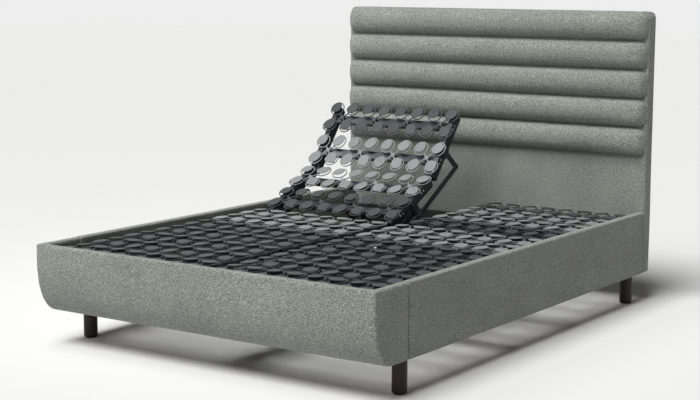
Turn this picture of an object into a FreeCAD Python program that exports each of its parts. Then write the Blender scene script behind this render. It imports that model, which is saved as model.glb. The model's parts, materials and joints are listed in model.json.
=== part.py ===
import FreeCAD, Part
import math
import os

# Upholstered double bedstead that carries two adjustable disc-spring bases side by side.
# Millimetres. +Z is up, +Y runs from the foot to the headboard, +X is the right-hand side seen from the
# foot. The origin is on the floor, under the middle of the bedstead.
# The right half lies flat. The left half is built with its back and head sections raised.

document = FreeCAD.newDocument("adjustable_bed")
sheet = document.addObject("Spreadsheet::Sheet", "sizes")

# Driving dimensions: name, value.
DIMENSIONS = (
    # bedstead
    ("overall_width", 1600),
    ("overall_length", 2234),
    ("overall_height", 1300),
    ("rail_top", 411),
    ("rail_bottom", 131),
    ("panel_thick", 35),
    ("foot_return", 215),
    ("foot_curve_run", 103),
    ("foot_curve_start", 320),
    ("rear_cover_thick", 4),
    ("board_thick", 25),
    ("pad_thick", 45),
    ("roll_bottom", 660),
    ("roll_bulge", 45),
    ("roll_corner", 34),
    ("roll_gap", 1),
    ("leg_radius", 28),
    ("leg_chamfer", 4),
    ("leg_inset", 56),
    ("front_leg_y", 239),
    ("rear_leg_y", 2110),
    ("glide_radius", 20),
    ("glide_thick", 3),
    ("leg_bolt_radius", 4),
    ("leg_bolt_reach", 35),
    ("block_width", 60),
    ("block_length", 90),
    ("cleat_seat", 15),
    ("cleat_height", 30),
    ("batten_inset", 104),
    ("batten_width", 26),
    ("beam_seat", 16),
    ("beam_height", 40),
    ("bracket_thick", 3),
    ("bracket_low", 245),
    ("bracket_high", 320),
    ("bracket_reach", 60),
    ("frame_bolt_radius", 3),
    ("frame_bolt_length", 22),
    # one adjustable base
    ("unit_width", 676),
    ("unit_side_gap", 43),
    ("base_bottom", 201),
    ("base_height", 40),
    ("base_inset", 2),
    ("base_tube", 24),
    ("base_wall", 2),
    ("base_foot_gap", 4),
    ("base_head_y", 2140),
    ("cross_tube", 30),
    ("rest_gap", 2),
    ("frame_rail_width", 26),
    ("frame_rail_height", 48),
    ("module_clear", 1),
    ("frame_wall", 2),
    ("bar_width", 40),
    ("bar_height", 20),
    ("bar_top", 366),
    ("first_bar_y", 124),
    ("bar_pitch", 188),
    ("thigh_extra", 12),
    ("back_extra", 40),
    ("head_extra", 13),
    ("foot_overhang", 64),
    ("head_overhang", 62),
    ("seat_setback", 11),
    ("knee_setback", 14),
    ("back_setback", 20),
    ("head_setback", 12),
    ("post_length", 30),
    ("post_inset", 30),
    # hinges
    ("hinge_height", 350),
    ("pin_radius", 6),
    ("pin_head_radius", 9),
    ("pin_head_thick", 2),
    ("pin_play", 0.05),
    ("ear_thick", 6),
    ("ear_radius", 16),
    ("ear_reach", 66),
    ("ear_gap", 0.5),
    ("ear_clear", 4),
    # disc modules
    ("module_pitch", 184),
    ("disc_spacing_across", 92),
    ("disc_spacing_along", 94),
    ("disc_radius", 32),
    ("disc_thick", 6),
    ("disc_top", 396),
    ("stem_radius", 9),
    ("arm_width", 11),
    ("arm_thick", 5),
    ("arm_top", 384),
    ("hub_radius", 19),
    # lift mechanism
    ("shaft_drop", 50),
    ("shaft_radius", 15),
    ("shaft_play", 0.05),
    ("back_lever", 260),
    ("leg_lever", 200),
    ("lever_width", 12),
    ("lever_hub_wall", 5),
    ("lever_above", 4),
    ("lever_below", 20),
    ("roller_radius", 14),
    ("roller_width", 20),
    ("roller_gap", 0.3),
    ("raised_roller_gap", 6.5),
    ("bearing_offset", 300),
    ("bearing_thick", 8),
    ("bearing_reach", 72),
    ("crank_radius", 62),
    ("crank_tip", 8),
    ("crank_thick", 16),
    ("back_crank_lead", 30),
    ("leg_crank_lead", 19.5),
    ("nut_length", 30),
    ("nut_width", 44),
    ("nut_height", 38),
    ("nut_drop", 80),
    ("nut_clear", 1.5),
    ("spindle_radius", 7),
    ("motor_radius", 24),
    ("housing_width", 120),
    ("housing_overlap", 46),
    ("housing_top", 322),
    ("housing_bottom", 188),
    ("housing_wall", 5),
    ("gland_radius", 9),
    ("gland_bore", 4),
    ("gland_length", 14),
    # neck stay
    ("stay_plate", 5),
    ("stay_thick", 4),
    ("stay_gap", 0.3),
    ("stay_width", 26),
    ("stay_pin", 5),
    ("stay_pin_play", 0.05),
    ("stay_eye_radius", 14),
    ("stay_head_y", 157),
    ("stay_head_drop", 119),
    ("stay_back_y", 215),
    ("stay_back_drop", 69),
    ("stay_length", 450),
    ("stay_slot_play", 1.2),
    ("stay_bracket_width", 50),
    ("stay_bolt_spacing", 30),
    ("stay_bolt_head", 3),
    ("head_tilt_limit", 35),
    ("stay_turn", 0.504),
    # how far the left half is raised
    ("left_back_angle", 26.5),
    ("left_head_angle", 25),
)
ROLL_COUNT = 5
MODULES_ACROSS = 4
CUT_PAST = 1
NO_LENGTH = 0.001
SECTION_BARS = {"calf": (0, 1, 2), "thigh": (3, 4), "seat": (5, 6), "back": (7, 8), "head": (9, 10)}


class Size:
    """A number together with the sheet formula that it comes from."""

    def __init__(self, value, formula=None):
        self.value = float(value)
        self.formula = formula if formula else repr(float(value))

    def _with(self, other, sign, value):
        return Size(value, "(" + self.formula + sign + as_size(other).formula + ")")

    def __add__(self, other):
        return self._with(other, " + ", self.value + as_size(other).value)

    def __sub__(self, other):
        return self._with(other, " - ", self.value - as_size(other).value)

    def __mul__(self, other):
        return self._with(other, " * ", self.value * as_size(other).value)

    def __truediv__(self, other):
        return self._with(other, " / ", self.value / as_size(other).value)

    def __radd__(self, other):
        return as_size(other) + self

    def __rsub__(self, other):
        return as_size(other) - self

    def __rmul__(self, other):
        return as_size(other) * self

    def __neg__(self):
        return as_size(0) - self


def as_size(number):
    return number if isinstance(number, Size) else Size(number)


size = {}
for row, (name, value) in enumerate(DIMENSIONS, start=1):
    sheet.set("A%d" % row, str(value))
    sheet.setAlias("A%d" % row, name)
    size[name] = Size(value, "sizes." + name)
document.recompute()


# ---------------------------------------------------------------- helpers: primitives bound to the sheet

def bind(obj, **formulas):
    for prop, number in formulas.items():
        obj.setExpression(prop.replace("_", "."), as_size(number).formula)
    return obj


def set_place(obj, x, y, z):
    for axis, number in zip("xyz", (x, y, z)):
        obj.setExpression("Placement.Base." + axis, as_size(number).formula)
    return obj


def block(name, x, y, z):
    """A box from three (low, high) pairs; the pairs along x may come in either order."""
    x, y, z = [sorted(pair, key=lambda number: as_size(number).value) for pair in (x, y, z)]
    obj = document.addObject("Part::Box", name)
    bind(obj, Length=x[1] - x[0], Width=y[1] - y[0], Height=z[1] - z[0])
    return set_place(obj, x[0], y[0], z[0])


def around(centre, length):
    return centre - length / 2, centre + length / 2


def rod(name, axis, start, end, across, radius):
    """A cylinder along x, y or z from start to end; across holds its two other coordinates, in order."""
    low, high = sorted((as_size(start), as_size(end)), key=lambda number: number.value)
    obj = document.addObject("Part::Cylinder", name)
    bind(obj, Radius=radius, Height=high - low)
    turn, angle = {"x": ((0, 1, 0), 90), "y": ((1, 0, 0), -90), "z": ((0, 0, 1), 0)}[axis]
    obj.Placement = FreeCAD.Placement(FreeCAD.Vector(), FreeCAD.Rotation(FreeCAD.Vector(*turn), angle))
    place = list(across)
    place.insert("xyz".index(axis), low)
    return set_place(obj, *place)


def fuse(name, shapes):
    obj = document.addObject("Part::MultiFuse", name)
    obj.Shapes = shapes
    obj.Refine = True
    return obj


def group(name, shapes):
    obj = document.addObject("Part::Compound", name)
    obj.Links = shapes
    return obj


def cut(name, base, tools):
    obj = document.addObject("Part::Cut", name)
    obj.Base = base
    obj.Tool = tools[0] if len(tools) == 1 else fuse(name + "_tools", tools)
    return obj


def tube(name, x, y, z, along, wall):
    """A rectangular tube: a box with a box-shaped hollow that is open at both ends."""
    outer = block(name + "_outer", x, y, z)
    spans = []
    for axis, pair in zip("xyz", (x, y, z)):
        low, high = sorted(pair, key=lambda number: as_size(number).value)
        shift = -wall if axis == along else wall
        spans.append((low + shift, high - shift))
    return cut(name, outer, [block(name + "_hollow", *spans)])


def bar_at(name, start, angle, length, depth, x):
    """A flat bar in a plane of constant x that leaves start (y, z) at an angle above +Y."""
    low, high = sorted(x, key=lambda number: number.value)
    obj = document.addObject("Part::Box", name)
    bind(obj, Length=high - low, Width=length, Height=depth)
    turn = FreeCAD.Rotation(FreeCAD.Vector(1, 0, 0), angle)
    drop = turn.multVec(FreeCAD.Vector(0, 0, -as_size(depth).value / 2))
    base = FreeCAD.Vector(low.value, start[0].value, start[1].value) + drop
    obj.Placement = FreeCAD.Placement(base, turn)
    return obj


subparts = {}


def keep(node, obj, place=None):
    obj.Label = node
    if place is not None:
        obj.Placement = place
    subparts[node] = obj
    return obj


# ---------------------------------------------------------------- shared places

half_width = size["overall_width"] / 2
rail_inner = half_width - size["panel_thick"]
foot = -size["overall_length"] / 2
back_face = size["overall_length"] / 2
cover_front = back_face - size["rear_cover_thick"]
board_front = cover_front - size["board_thick"]
head_front = board_front - size["pad_thick"]
unit_centre = rail_inner - size["unit_side_gap"] - size["unit_width"] / 2


def from_foot(distance):
    return foot + distance


def bar_y(index):
    """Middle of a crossbar; the gaps at the thigh, back and head hinges are a little wider."""
    y = from_foot(size["first_bar_y"]) + index * size["bar_pitch"]
    for first, extra in ((5, "thigh_extra"), (7, "back_extra"), (9, "head_extra")):
        if index >= first:
            y = y + size[extra]
    return y


def between(index):
    return (bar_y(index) + bar_y(index + 1)) / 2


knee_y, thigh_y, back_y, neck_y = between(2), between(4), between(6), between(8)
hinge_z = size["hinge_height"]


# ---------------------------------------------------------------- bedstead

def foot_profile(inset, low, depth):
    """Side view of the foot panel as a face at x = 0: upright front, then a quarter ellipse under it."""
    run = size["foot_curve_run"].value - inset
    rise = size["foot_curve_start"].value - size["rail_bottom"].value - inset
    centre = FreeCAD.Vector(0, from_foot(size["foot_curve_run"]).value, size["foot_curve_start"].value)
    front = centre + FreeCAD.Vector(0, -run, 0)
    under = centre + FreeCAD.Vector(0, 0, -rise)
    ellipse = Part.Ellipse(under, front, centre) if rise > run else Part.Ellipse(front, under, centre)
    ends = sorted((ellipse.parameter(front), ellipse.parameter(under)))
    if ends[1] - ends[0] > math.pi:
        ends = [ends[1], ends[0] + 2 * math.pi]
    arc = ellipse.toShape(*ends)
    top = size["rail_top"].value + inset
    back = from_foot(depth).value
    corners = [under, FreeCAD.Vector(0, under.y, low), FreeCAD.Vector(0, back, low),
               FreeCAD.Vector(0, back, top), FreeCAD.Vector(0, front.y, top), front]
    edges = [arc]
    for a, b in zip(corners, corners[1:]):
        if a.distanceToPoint(b) > NO_LENGTH:
            edges.append(Part.makeLine(a, b))
    return Part.Face(Part.Wire(Part.__sortEdges__(edges)))


def foot_inner(height):
    """Distance from the foot end to the inner face of the foot panel, at a height within its curve."""
    run = size["foot_curve_run"].value - size["panel_thick"].value
    rise = size["foot_curve_start"].value - size["rail_bottom"].value - size["panel_thick"].value
    below = size["foot_curve_start"].value - height.value
    return as_size(size["foot_curve_run"].value - run * math.sqrt(1 - (below / rise) ** 2))


def foot_panel():
    """Padded foot panel: a shell that curves under, closed at each side by a return."""
    width = size["overall_width"].value
    thick = size["panel_thick"].value
    low = size["rail_bottom"].value
    outer = foot_profile(0, low, size["foot_return"]).extrude(FreeCAD.Vector(width, 0, 0))
    inner = foot_profile(thick, low - thick, size["foot_return"] + size["panel_thick"])
    inner = inner.extrude(FreeCAD.Vector(width - 2 * thick, 0, 0))
    outer.translate(FreeCAD.Vector(-width / 2, 0, 0))
    inner.translate(FreeCAD.Vector(thick - width / 2, 0, 0))
    obj = document.addObject("Part::Feature", "foot_panel_shape")
    obj.Shape = outer.cut(inner)
    keep("foot_panel", drilled("foot_panel_drilled", obj, bolt_places(at_rail=False)))


def side_rails():
    for side, word in ((-1, "left"), (1, "right")):
        rail = block(word + "_rail", (side * rail_inner, side * half_width),
                     (from_foot(size["foot_return"]), head_front), (size["rail_bottom"], size["rail_top"]))
        keep(word + "_side_rail", drilled(word + "_drilled", rail, bolt_places((side,), at_foot=False)))


def headboard():
    """Board with a flat padded lower part, padded rolls above it and a thin rear cover."""
    x = (-half_width, half_width)
    low, high = size["rail_bottom"], size["overall_height"]
    keep("headboard_board", block("board", x, (board_front, cover_front), (low, high)))
    keep("headboard_rear_cover", block("rear_cover", x, (cover_front, back_face), (low, high)))
    keep("headboard_lower_pad", block("lower_pad", x, (head_front, board_front), (low, size["roll_bottom"])))
    pitch = (high - size["roll_bottom"]) / ROLL_COUNT
    rolls = []
    for i in range(ROLL_COUNT):
        z = size["roll_bottom"] + i * pitch + size["roll_gap"] / 2
        name = "roll_%d" % (i + 1)
        solid = block(name + "_block", x, (head_front - size["roll_bulge"], board_front),
                      (z, z + pitch - size["roll_gap"]))
        document.recompute()
        rounded = document.addObject("Part::Fillet", name)
        rounded.Base = solid
        radius = size["roll_corner"].value
        rounded.Edges = [(n, radius, radius) for n, edge in enumerate(solid.Shape.Edges, start=1)
                         if edge.CenterOfMass.y < head_front.value and edge.BoundBox.XLength > radius]
        rolls.append(rounded)
    keep("headboard_rolls", group("rolls", rolls))


def leg_places():
    x = half_width - size["leg_inset"]
    for along, y in (("front", size["front_leg_y"]), ("rear", size["rear_leg_y"])):
        for word, side in (("left", -1), ("right", 1)):
            yield along + "_" + word, side, side * x, from_foot(y)


def legs():
    """Round legs with a chamfered foot, glides, the blocks that they screw into and their bolts."""
    glides, blocks, bolts = [], [], []
    top = size["rail_bottom"]
    bolt_low, bolt_high = top - size["leg_bolt_reach"], top + size["leg_bolt_reach"]
    for name, side, x, y in leg_places():
        column = rod(name + "_column", "z", size["glide_thick"], top, (x, y), size["leg_radius"])
        document.recompute()
        chamfered = document.addObject("Part::Chamfer", name + "_chamfered")
        chamfered.Base = column
        width = size["leg_chamfer"].value
        chamfered.Edges = [(n, width, width) for n, edge in enumerate(column.Shape.Edges, start=1)
                           if edge.BoundBox.ZMax < top.value / 2]
        bore = rod(name + "_bore", "z", bolt_low, top + CUT_PAST, (x, y), size["leg_bolt_radius"])
        keep(name + "_leg", cut(name + "_leg_cut", chamfered, [bore]))
        glides.append(rod(name + "_glide", "z", 0, size["glide_thick"], (x, y), size["glide_radius"]))
        body = block(name + "_block", (side * rail_inner, side * (rail_inner - size["block_width"])),
                     around(y, size["block_length"]), (top, size["base_bottom"]))
        hole = rod(name + "_hole", "z", top - CUT_PAST, bolt_high, (x, y), size["leg_bolt_radius"])
        blocks.append(cut(name + "_corner_block", body, [hole]))
        bolts.append(rod(name + "_bolt", "z", bolt_low, bolt_high, (x, y), size["leg_bolt_radius"]))
    keep("leg_glides", group("glides", glides))
    keep("corner_blocks", group("blocks", blocks))
    return bolts


def ledges():
    """Ledges along the side rails and behind the foot panel, and the beam down the middle."""
    z = (size["base_bottom"] - size["cleat_height"], size["base_bottom"])
    half_block = size["block_length"] / 2
    y = (from_foot(size["front_leg_y"]) + half_block, from_foot(size["rear_leg_y"]) - half_block)
    base_half = size["unit_width"] / 2 - size["base_inset"]
    cleat_edge = unit_centre + base_half - size["cleat_seat"]
    beam_edge = unit_centre - base_half + size["beam_seat"]
    cleats = []
    for side, word in ((-1, "left"), (1, "right")):
        x = (side * rail_inner, side * cleat_edge)
        cleats.append(block(word + "_cleat", x, y, z))
    batten = from_foot(size["batten_inset"])
    batten_back = batten + size["batten_width"]
    cleats.append(block("foot_batten", (-rail_inner, rail_inner), (batten, batten_back), z))
    keep("rail_cleats", group("cleats", cleats))
    keep("centre_beam", block("beam", (-beam_edge, beam_edge), (batten_back, head_front),
                              (size["base_bottom"] - size["beam_height"], size["base_bottom"])))


def brackets(bolts):
    """Steel brackets: angles at the headboard, straight plates across the seams of the foot panel."""
    z = (size["bracket_low"], size["bracket_high"])
    reach, thick = size["bracket_reach"], size["bracket_thick"]
    seam = from_foot(size["foot_return"])
    shapes = []
    for side, word in ((-1, "left"), (1, "right")):
        x = (side * rail_inner, side * (rail_inner - thick))
        plate = block(word + "_plate", x, (head_front - reach, head_front), z)
        wing = block(word + "_wing", (side * rail_inner, side * (rail_inner - reach)),
                     (head_front - thick, head_front), z)
        shapes.append(fuse(word + "_angle", [plate, wing]))
        shapes.append(block(word + "_splice", x, (seam - reach, seam + reach), z))
    for side, y in bolt_places():
        start, end = bolt_span(side)
        bolts.append(rod("frame_bolt", "x", start, end, (y, bolt_height), size["frame_bolt_radius"]))
    keep("corner_brackets", drilled("brackets", group("bracket_set", shapes), bolt_places()))
    keep("fasteners", group("bolts", bolts))


bolt_height = (size["bracket_low"] + size["bracket_high"]) / 2


def bolt_places(sides=(-1, 1), at_foot=True, at_rail=True):
    """Side and y of each frame bolt: in the return of the foot panel, and in the side rail."""
    seam = from_foot(size["foot_return"])
    half = size["bracket_reach"] / 2
    for side in sides:
        if at_foot:
            yield side, seam - half
        if at_rail:
            yield side, seam + half
            yield side, head_front - half


def bolt_span(side):
    return side * (rail_inner - size["bracket_thick"]), side * (rail_inner + size["frame_bolt_length"])


def drilled(name, base, places):
    """base with a hole for each frame bolt."""
    tools = []
    for side, y in places:
        start, end = bolt_span(side)
        tools.append(rod(name + "_hole", "x", start, end, (y, bolt_height), size["frame_bolt_radius"]))
    return cut(name, base, tools)


# ---------------------------------------------------------------- one adjustable base

rail_out = size["unit_width"] / 2
rail_in = rail_out - size["frame_rail_width"]
frame_top = size["arm_top"] - size["arm_thick"] - size["module_clear"]
frame_z = (frame_top - size["frame_rail_height"], frame_top)
base_z = (size["base_bottom"], size["base_bottom"] + size["base_height"])
base_out = rail_out - size["base_inset"]
base_in = base_out - size["base_tube"]
shaft_z = hinge_z - size["shaft_drop"]
nut_z = shaft_z - size["nut_drop"]


class Unit:
    """One base: side is -1 on the left and +1 on the right; offsets run outwards from its middle."""

    def __init__(self, word, side, back_angle, head_angle):
        self.word = word
        self.side = side
        self.back_angle = back_angle
        self.head_angle = head_angle

    def x(self, offset):
        return self.side * (unit_centre + offset)

    def span(self, near, far):
        return self.x(near), self.x(far)

    def both(self, near, far):
        """The same pair of offsets on the outer and on the inner side of the base."""
        return self.span(near, far), self.span(-near, -far)

    def name(self, piece):
        return self.word + "_" + piece


def swing(y, z, angle):
    """A turn about the x direction through (y, z), in degrees."""
    turn = FreeCAD.Rotation(FreeCAD.Vector(1, 0, 0), angle)
    pivot = FreeCAD.Vector(0, as_size(y).value, as_size(z).value)
    return FreeCAD.Placement(pivot - turn.multVec(pivot), turn)


def crossbar(unit, name, index):
    y = around(bar_y(index), size["bar_width"])
    z = (size["bar_top"] - size["bar_height"], size["bar_top"])
    return tube(name, unit.span(-rail_in, rail_in), y, z, "x", size["frame_wall"])


def ears(unit, name, y, toward, turning):
    """Hinge plates of one frame at the axis y; the turning frame's plates lie one plate further in."""
    thick = size["ear_thick"]
    layer = rail_in - thick - size["ear_gap"] if turning else rail_in
    z = (hinge_z - size["ear_radius"], hinge_z + size["ear_radius"])
    shapes, bores = [], []
    for i, x in enumerate(unit.both(layer - thick, layer)):
        shapes.append(block("%s_ear_%d" % (name, i), x, (y, y + toward * size["ear_reach"]), z))
        shapes.append(rod("%s_eye_%d" % (name, i), "x", x[0], x[1], (y, hinge_z), size["ear_radius"]))
        radius = size["pin_radius"] + size["pin_play"] if turning else size["pin_radius"]
        bores.append(rod("%s_bore_%d" % (name, i), "x", x[0], x[1], (y, hinge_z), radius))
    if turning:
        start = y + toward * (size["ear_radius"] + size["ear_clear"])
        for i, x in enumerate(unit.both(layer, rail_in)):
            shapes.append(block("%s_spacer_%d" % (name, i), x, (start, y + toward * size["ear_reach"]), z))
    return shapes, bores


def pins(unit, node, places, place=None):
    """Hinge pins with a head on their inner end."""
    shapes = []
    head = rail_in - 2 * size["ear_thick"] - size["ear_gap"] - size["pin_play"]
    for n, y in enumerate(places):
        for i, sign in enumerate((1, -1)):
            name = "%s_%d_%d" % (unit.name(node), n, i)
            centre = (y, hinge_z)
            outer, inner = unit.x(sign * rail_in), unit.x(sign * head)
            tip = unit.x(sign * (head - size["pin_head_thick"]))
            shank = rod(name + "_shank", "x", outer, inner, centre, size["pin_radius"])
            cap = rod(name + "_head", "x", inner, tip, centre, size["pin_head_radius"])
            shapes.append(fuse(name, [shank, cap]))
    keep(unit.name(node), group(unit.name(node) + "_set", shapes), place)


def ladder(unit, section, y, bars, hinges, extras=(), place=None):
    """A frame of two side rails, its crossbars and its hinge plates, welded into one piece."""
    name = unit.name(section)
    shapes, bores = list(extras), []
    for i, x in enumerate(unit.both(rail_in, rail_out)):
        shapes.append(tube("%s_rail_%d" % (name, i), x, y, frame_z, "y", size["frame_wall"]))
    for index in bars:
        shapes.append(crossbar(unit, "%s_bar_%d" % (name, index), index))
    for n, (axis, toward, turning) in enumerate(hinges):
        more, holes = ears(unit, "%s_hinge_%d" % (name, n), axis, toward, turning)
        shapes += more
        bores += holes
    welded = fuse(name + "_welded", shapes)
    keep(name + "_frame", cut(name + "_frame_cut", welded, bores), place)


def disc_module(name):
    """One spring module about the origin of x and y: a hub on the crossbar, four arms, four discs."""
    top, bottom = size["arm_top"], size["arm_top"] - size["arm_thick"]
    shapes = [rod(name + "_hub", "z", size["bar_top"], top, (0, 0), size["hub_radius"])]
    across, along = size["disc_spacing_across"] / 2, size["disc_spacing_along"] / 2
    angle = math.degrees(math.atan2(along.value, across.value))
    for i, turn in enumerate((angle, 180 - angle)):
        arm = document.addObject("Part::Box", "%s_arm_%d" % (name, i))
        length = 2 * math.hypot(across.value, along.value)
        width = size["arm_width"].value
        bind(arm, Width=size["arm_width"], Height=size["arm_thick"])
        arm.Length = length
        spin = FreeCAD.Rotation(FreeCAD.Vector(0, 0, 1), turn)
        corner = spin.multVec(FreeCAD.Vector(-length / 2, -width / 2, 0))
        arm.Placement = FreeCAD.Placement(corner + FreeCAD.Vector(0, 0, bottom.value), spin)
        shapes.append(arm)
    for sx in (-1, 1):
        for sy in (-1, 1):
            centre = (sx * across, sy * along)
            shapes.append(rod(name + "_stem", "z", bottom, size["disc_top"] - size["disc_thick"], centre,
                              size["stem_radius"]))
            shapes.append(rod(name + "_disc", "z", size["disc_top"] - size["disc_thick"], size["disc_top"],
                              centre, size["disc_radius"]))
    return fuse(name, shapes)


def disc_field(unit, section, bars, module, place=None):
    """Copies of the spring module along each crossbar of a section."""
    copies = []
    for index in bars:
        for j in range(MODULES_ACROSS):
            offset = size["module_pitch"] * (j - (MODULES_ACROSS - 1) / 2)
            copy = module.Shape.copy()
            copy.translate(FreeCAD.Vector(unit.x(offset).value, bar_y(index).value, 0))
            copies.append(copy)
    obj = document.addObject("Part::Feature", unit.name(section) + "_modules")
    obj.Shape = Part.makeCompound(copies)
    keep(unit.name(section) + "_discs", obj, place)


def base_frame(unit):
    """Fixed frame that rests on the ledges: tubes, and the bearings of the two torsion shafts."""
    name = unit.name("base")
    foot_end = from_foot(foot_inner(size["base_bottom"]) + size["base_foot_gap"])
    head_end = from_foot(size["base_head_y"])
    shapes, bores = [], []
    for i, x in enumerate(unit.both(base_in, base_out)):
        shapes.append(tube("%s_rail_%d" % (name, i), x, (foot_end, head_end), base_z, "y", size["base_wall"]))
    reach = size["bearing_reach"]
    middles = (foot_end + size["cross_tube"] / 2, thigh_y - reach, back_y + reach,
               head_end - size["cross_tube"] / 2)
    for i, y in enumerate(middles):
        shapes.append(tube("%s_cross_%d" % (name, i), unit.span(-base_in, base_in),
                           around(y, size["cross_tube"]), base_z, "x", size["base_wall"]))
    rest_y = (head_end - size["cross_tube"], head_end)
    rest_top = frame_z[0] - size["rest_gap"]
    rest_bottom = rest_top - size["base_height"]
    shapes.append(tube(name + "_rest", unit.span(-base_in, base_in), rest_y, (rest_bottom, rest_top), "x",
                       size["base_wall"]))
    for i, x in enumerate(unit.both(base_in, base_out)):
        shapes.append(block("%s_rest_post_%d" % (name, i), x, rest_y, (base_z[1], rest_top)))
    for n, (y, toward) in enumerate(((thigh_y, -1), (back_y, 1))):
        near = y - toward * (size["shaft_radius"] + size["bearing_thick"])
        far = y + toward * (reach + size["cross_tube"] / 2)
        for i, x in enumerate(unit.both(*around(size["bearing_offset"], size["bearing_thick"]))):
            plate = "%s_bearing_%d_%d" % (name, n, i)
            shapes.append(block(plate, x, sorted((near, far), key=lambda number: number.value),
                                (base_z[1], shaft_z + size["shaft_radius"] + size["bearing_thick"])))
            bores.append(rod(plate + "_bore", "x", x[0], x[1], (y, shaft_z),
                             size["shaft_radius"] + size["shaft_play"]))
    keep(name + "_frame", cut(name + "_frame_cut", fuse(name + "_welded", shapes), bores))


def seat(unit):
    """Fixed seat section on four posts."""
    y = (thigh_y + size["seat_setback"], back_y - size["back_setback"])
    posts = []
    for n, middle in enumerate((y[0] + size["post_inset"], y[1] - size["post_inset"])):
        for i, x in enumerate(unit.both(base_in, base_out)):
            name = "%s_post_%d_%d" % (unit.name("seat"), n, i)
            posts.append(block(name, x, around(middle, size["post_length"]), (base_z[1], frame_z[0])))
    ladder(unit, "seat", y, SECTION_BARS["seat"], ((thigh_y, 1, False), (back_y, -1, False)), posts)
    pins(unit, "seat_pins", (thigh_y, back_y))


def legs_sections(unit):
    """Thigh section, and the calf section whose foot end glides on the base frame."""
    thigh = (knee_y + size["knee_setback"], thigh_y - size["seat_setback"])
    ladder(unit, "thigh", thigh, SECTION_BARS["thigh"], ((thigh_y, -1, True), (knee_y, 1, False)))
    pins(unit, "thigh_pins", (knee_y,))
    calf = (from_foot(size["first_bar_y"]) - size["foot_overhang"], knee_y - size["knee_setback"])
    posts = []
    middle = calf[0] + size["post_inset"] + size["post_length"] / 2
    for i, x in enumerate(unit.both(base_in, base_out)):
        posts.append(block("%s_glide_%d" % (unit.name("calf"), i), x, around(middle, size["post_length"]),
                           (base_z[1] + size["roller_gap"], frame_z[0])))
    ladder(unit, "calf", calf, SECTION_BARS["calf"], ((knee_y, -1, True),), posts)


def stay_bracket(unit, name, y, drop):
    """Plate on the outer face of the rail beside the middle of the bed, with an eye for the neck stay."""
    face = -rail_out - size["stay_plate"]
    x = unit.span(-rail_out, face)
    top = frame_z[1] - size["frame_wall"]
    shapes = [block(name + "_plate", x, around(y, size["stay_bracket_width"]), (frame_z[0], top)),
              block(name + "_arm", x, around(y, size["stay_width"]), (hinge_z - drop, top)),
              rod(name + "_eye", "x", x[0], x[1], (y, hinge_z - drop), size["stay_eye_radius"])]
    tip = face - 2 * size["stay_gap"] - size["stay_thick"]
    centre = (y, hinge_z - drop)
    shapes.append(rod(name + "_pin", "x", x[1], unit.x(tip), centre, size["stay_pin"]))
    shapes.append(rod(name + "_pin_head", "x", unit.x(tip), unit.x(tip - size["pin_head_thick"]), centre,
                      size["pin_head_radius"]))
    for i, side in enumerate((-1, 1)):
        place = (y + side * size["stay_bolt_spacing"] / 2, hinge_z + size["stay_pin"])
        shapes.append(rod("%s_bolt_%d" % (name, i), "x", x[1], unit.x(face - size["stay_bolt_head"]), place,
                          size["stay_pin"]))
    return shapes


def upper_sections(unit, module):
    """Back section, and the head section that tilts on it."""
    raised = swing(back_y, hinge_z, unit.back_angle)
    tilted = raised.multiply(swing(neck_y, hinge_z, unit.head_angle))
    back = (back_y + size["back_setback"], neck_y - size["head_setback"])
    hinges = ((back_y, 1, True), (neck_y, -1, False))
    guide_y = back_y + size["stay_back_y"]
    guide = stay_bracket(unit, unit.name("back_bracket"), guide_y, size["stay_back_drop"])
    ladder(unit, "back", back, SECTION_BARS["back"], hinges, guide, raised)
    pins(unit, "back_pins", (neck_y,), raised)
    head = (neck_y + size["head_setback"], bar_y(SECTION_BARS["head"][-1]) + size["head_overhang"])
    eye_y = neck_y + size["stay_head_y"]
    eye = stay_bracket(unit, unit.name("head_bracket"), eye_y, size["stay_head_drop"])
    ladder(unit, "head", head, SECTION_BARS["head"], ((neck_y, 1, True),), eye, tilted)
    disc_field(unit, "back", SECTION_BARS["back"], module, raised)
    disc_field(unit, "head", SECTION_BARS["head"], module, tilted)
    neck_stay(unit, tilted)


def neck_stay(unit, tilted):
    """Slotted stay: it turns on the head bracket, and its slot slides on the pin of the back bracket."""
    eye = (neck_y + size["stay_head_y"], hinge_z - size["stay_head_drop"])
    pin = (back_y + size["stay_back_y"], hinge_z - size["stay_back_drop"])
    flat_angle = math.degrees(math.atan2(pin[1].value - eye[1].value, pin[0].value - eye[0].value))
    near = math.hypot(pin[1].value - eye[1].value, pin[0].value - eye[0].value)
    limit = math.radians(size["head_tilt_limit"].value)
    arm_y, arm_z = size["stay_head_y"].value, -size["stay_head_drop"].value
    y = neck_y.value + arm_y * math.cos(limit) - arm_z * math.sin(limit)
    z = hinge_z.value + arm_y * math.sin(limit) + arm_z * math.cos(limit)
    far = math.hypot(pin[0].value - y, pin[1].value - z)
    start = rail_out + size["stay_plate"] + size["stay_gap"]
    x = unit.span(-start, -start - size["stay_thick"])
    name = unit.name("neck_stay")
    play = size["stay_pin"] + size["stay_slot_play"]

    def point(distance):
        turn = math.radians(flat_angle)
        along, up = distance * math.cos(turn), distance * math.sin(turn)
        return eye[0] + along, eye[1] + up

    strap = bar_at(name + "_strap", eye, flat_angle, size["stay_length"], size["stay_width"], x)
    ends = [rod(name + "_eye", "x", x[0], x[1], eye, size["stay_width"] / 2),
            rod(name + "_tail", "x", x[0], x[1], point(size["stay_length"].value), size["stay_width"] / 2)]
    slot_start, slot_length = near - play.value, far - near + 2 * play.value
    tools = [rod(name + "_bore", "x", x[0], x[1], eye, size["stay_pin"] + size["stay_pin_play"]),
             bar_at(name + "_slot", point(slot_start), flat_angle, slot_length, 2 * play, x)]
    shape = cut(name + "_cut", fuse(name + "_body", [strap] + ends), tools)
    turned = swing(eye[0], eye[1], -size["stay_turn"].value * unit.head_angle)
    keep(unit.name("neck_link"), shape, tilted.multiply(turned))


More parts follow.
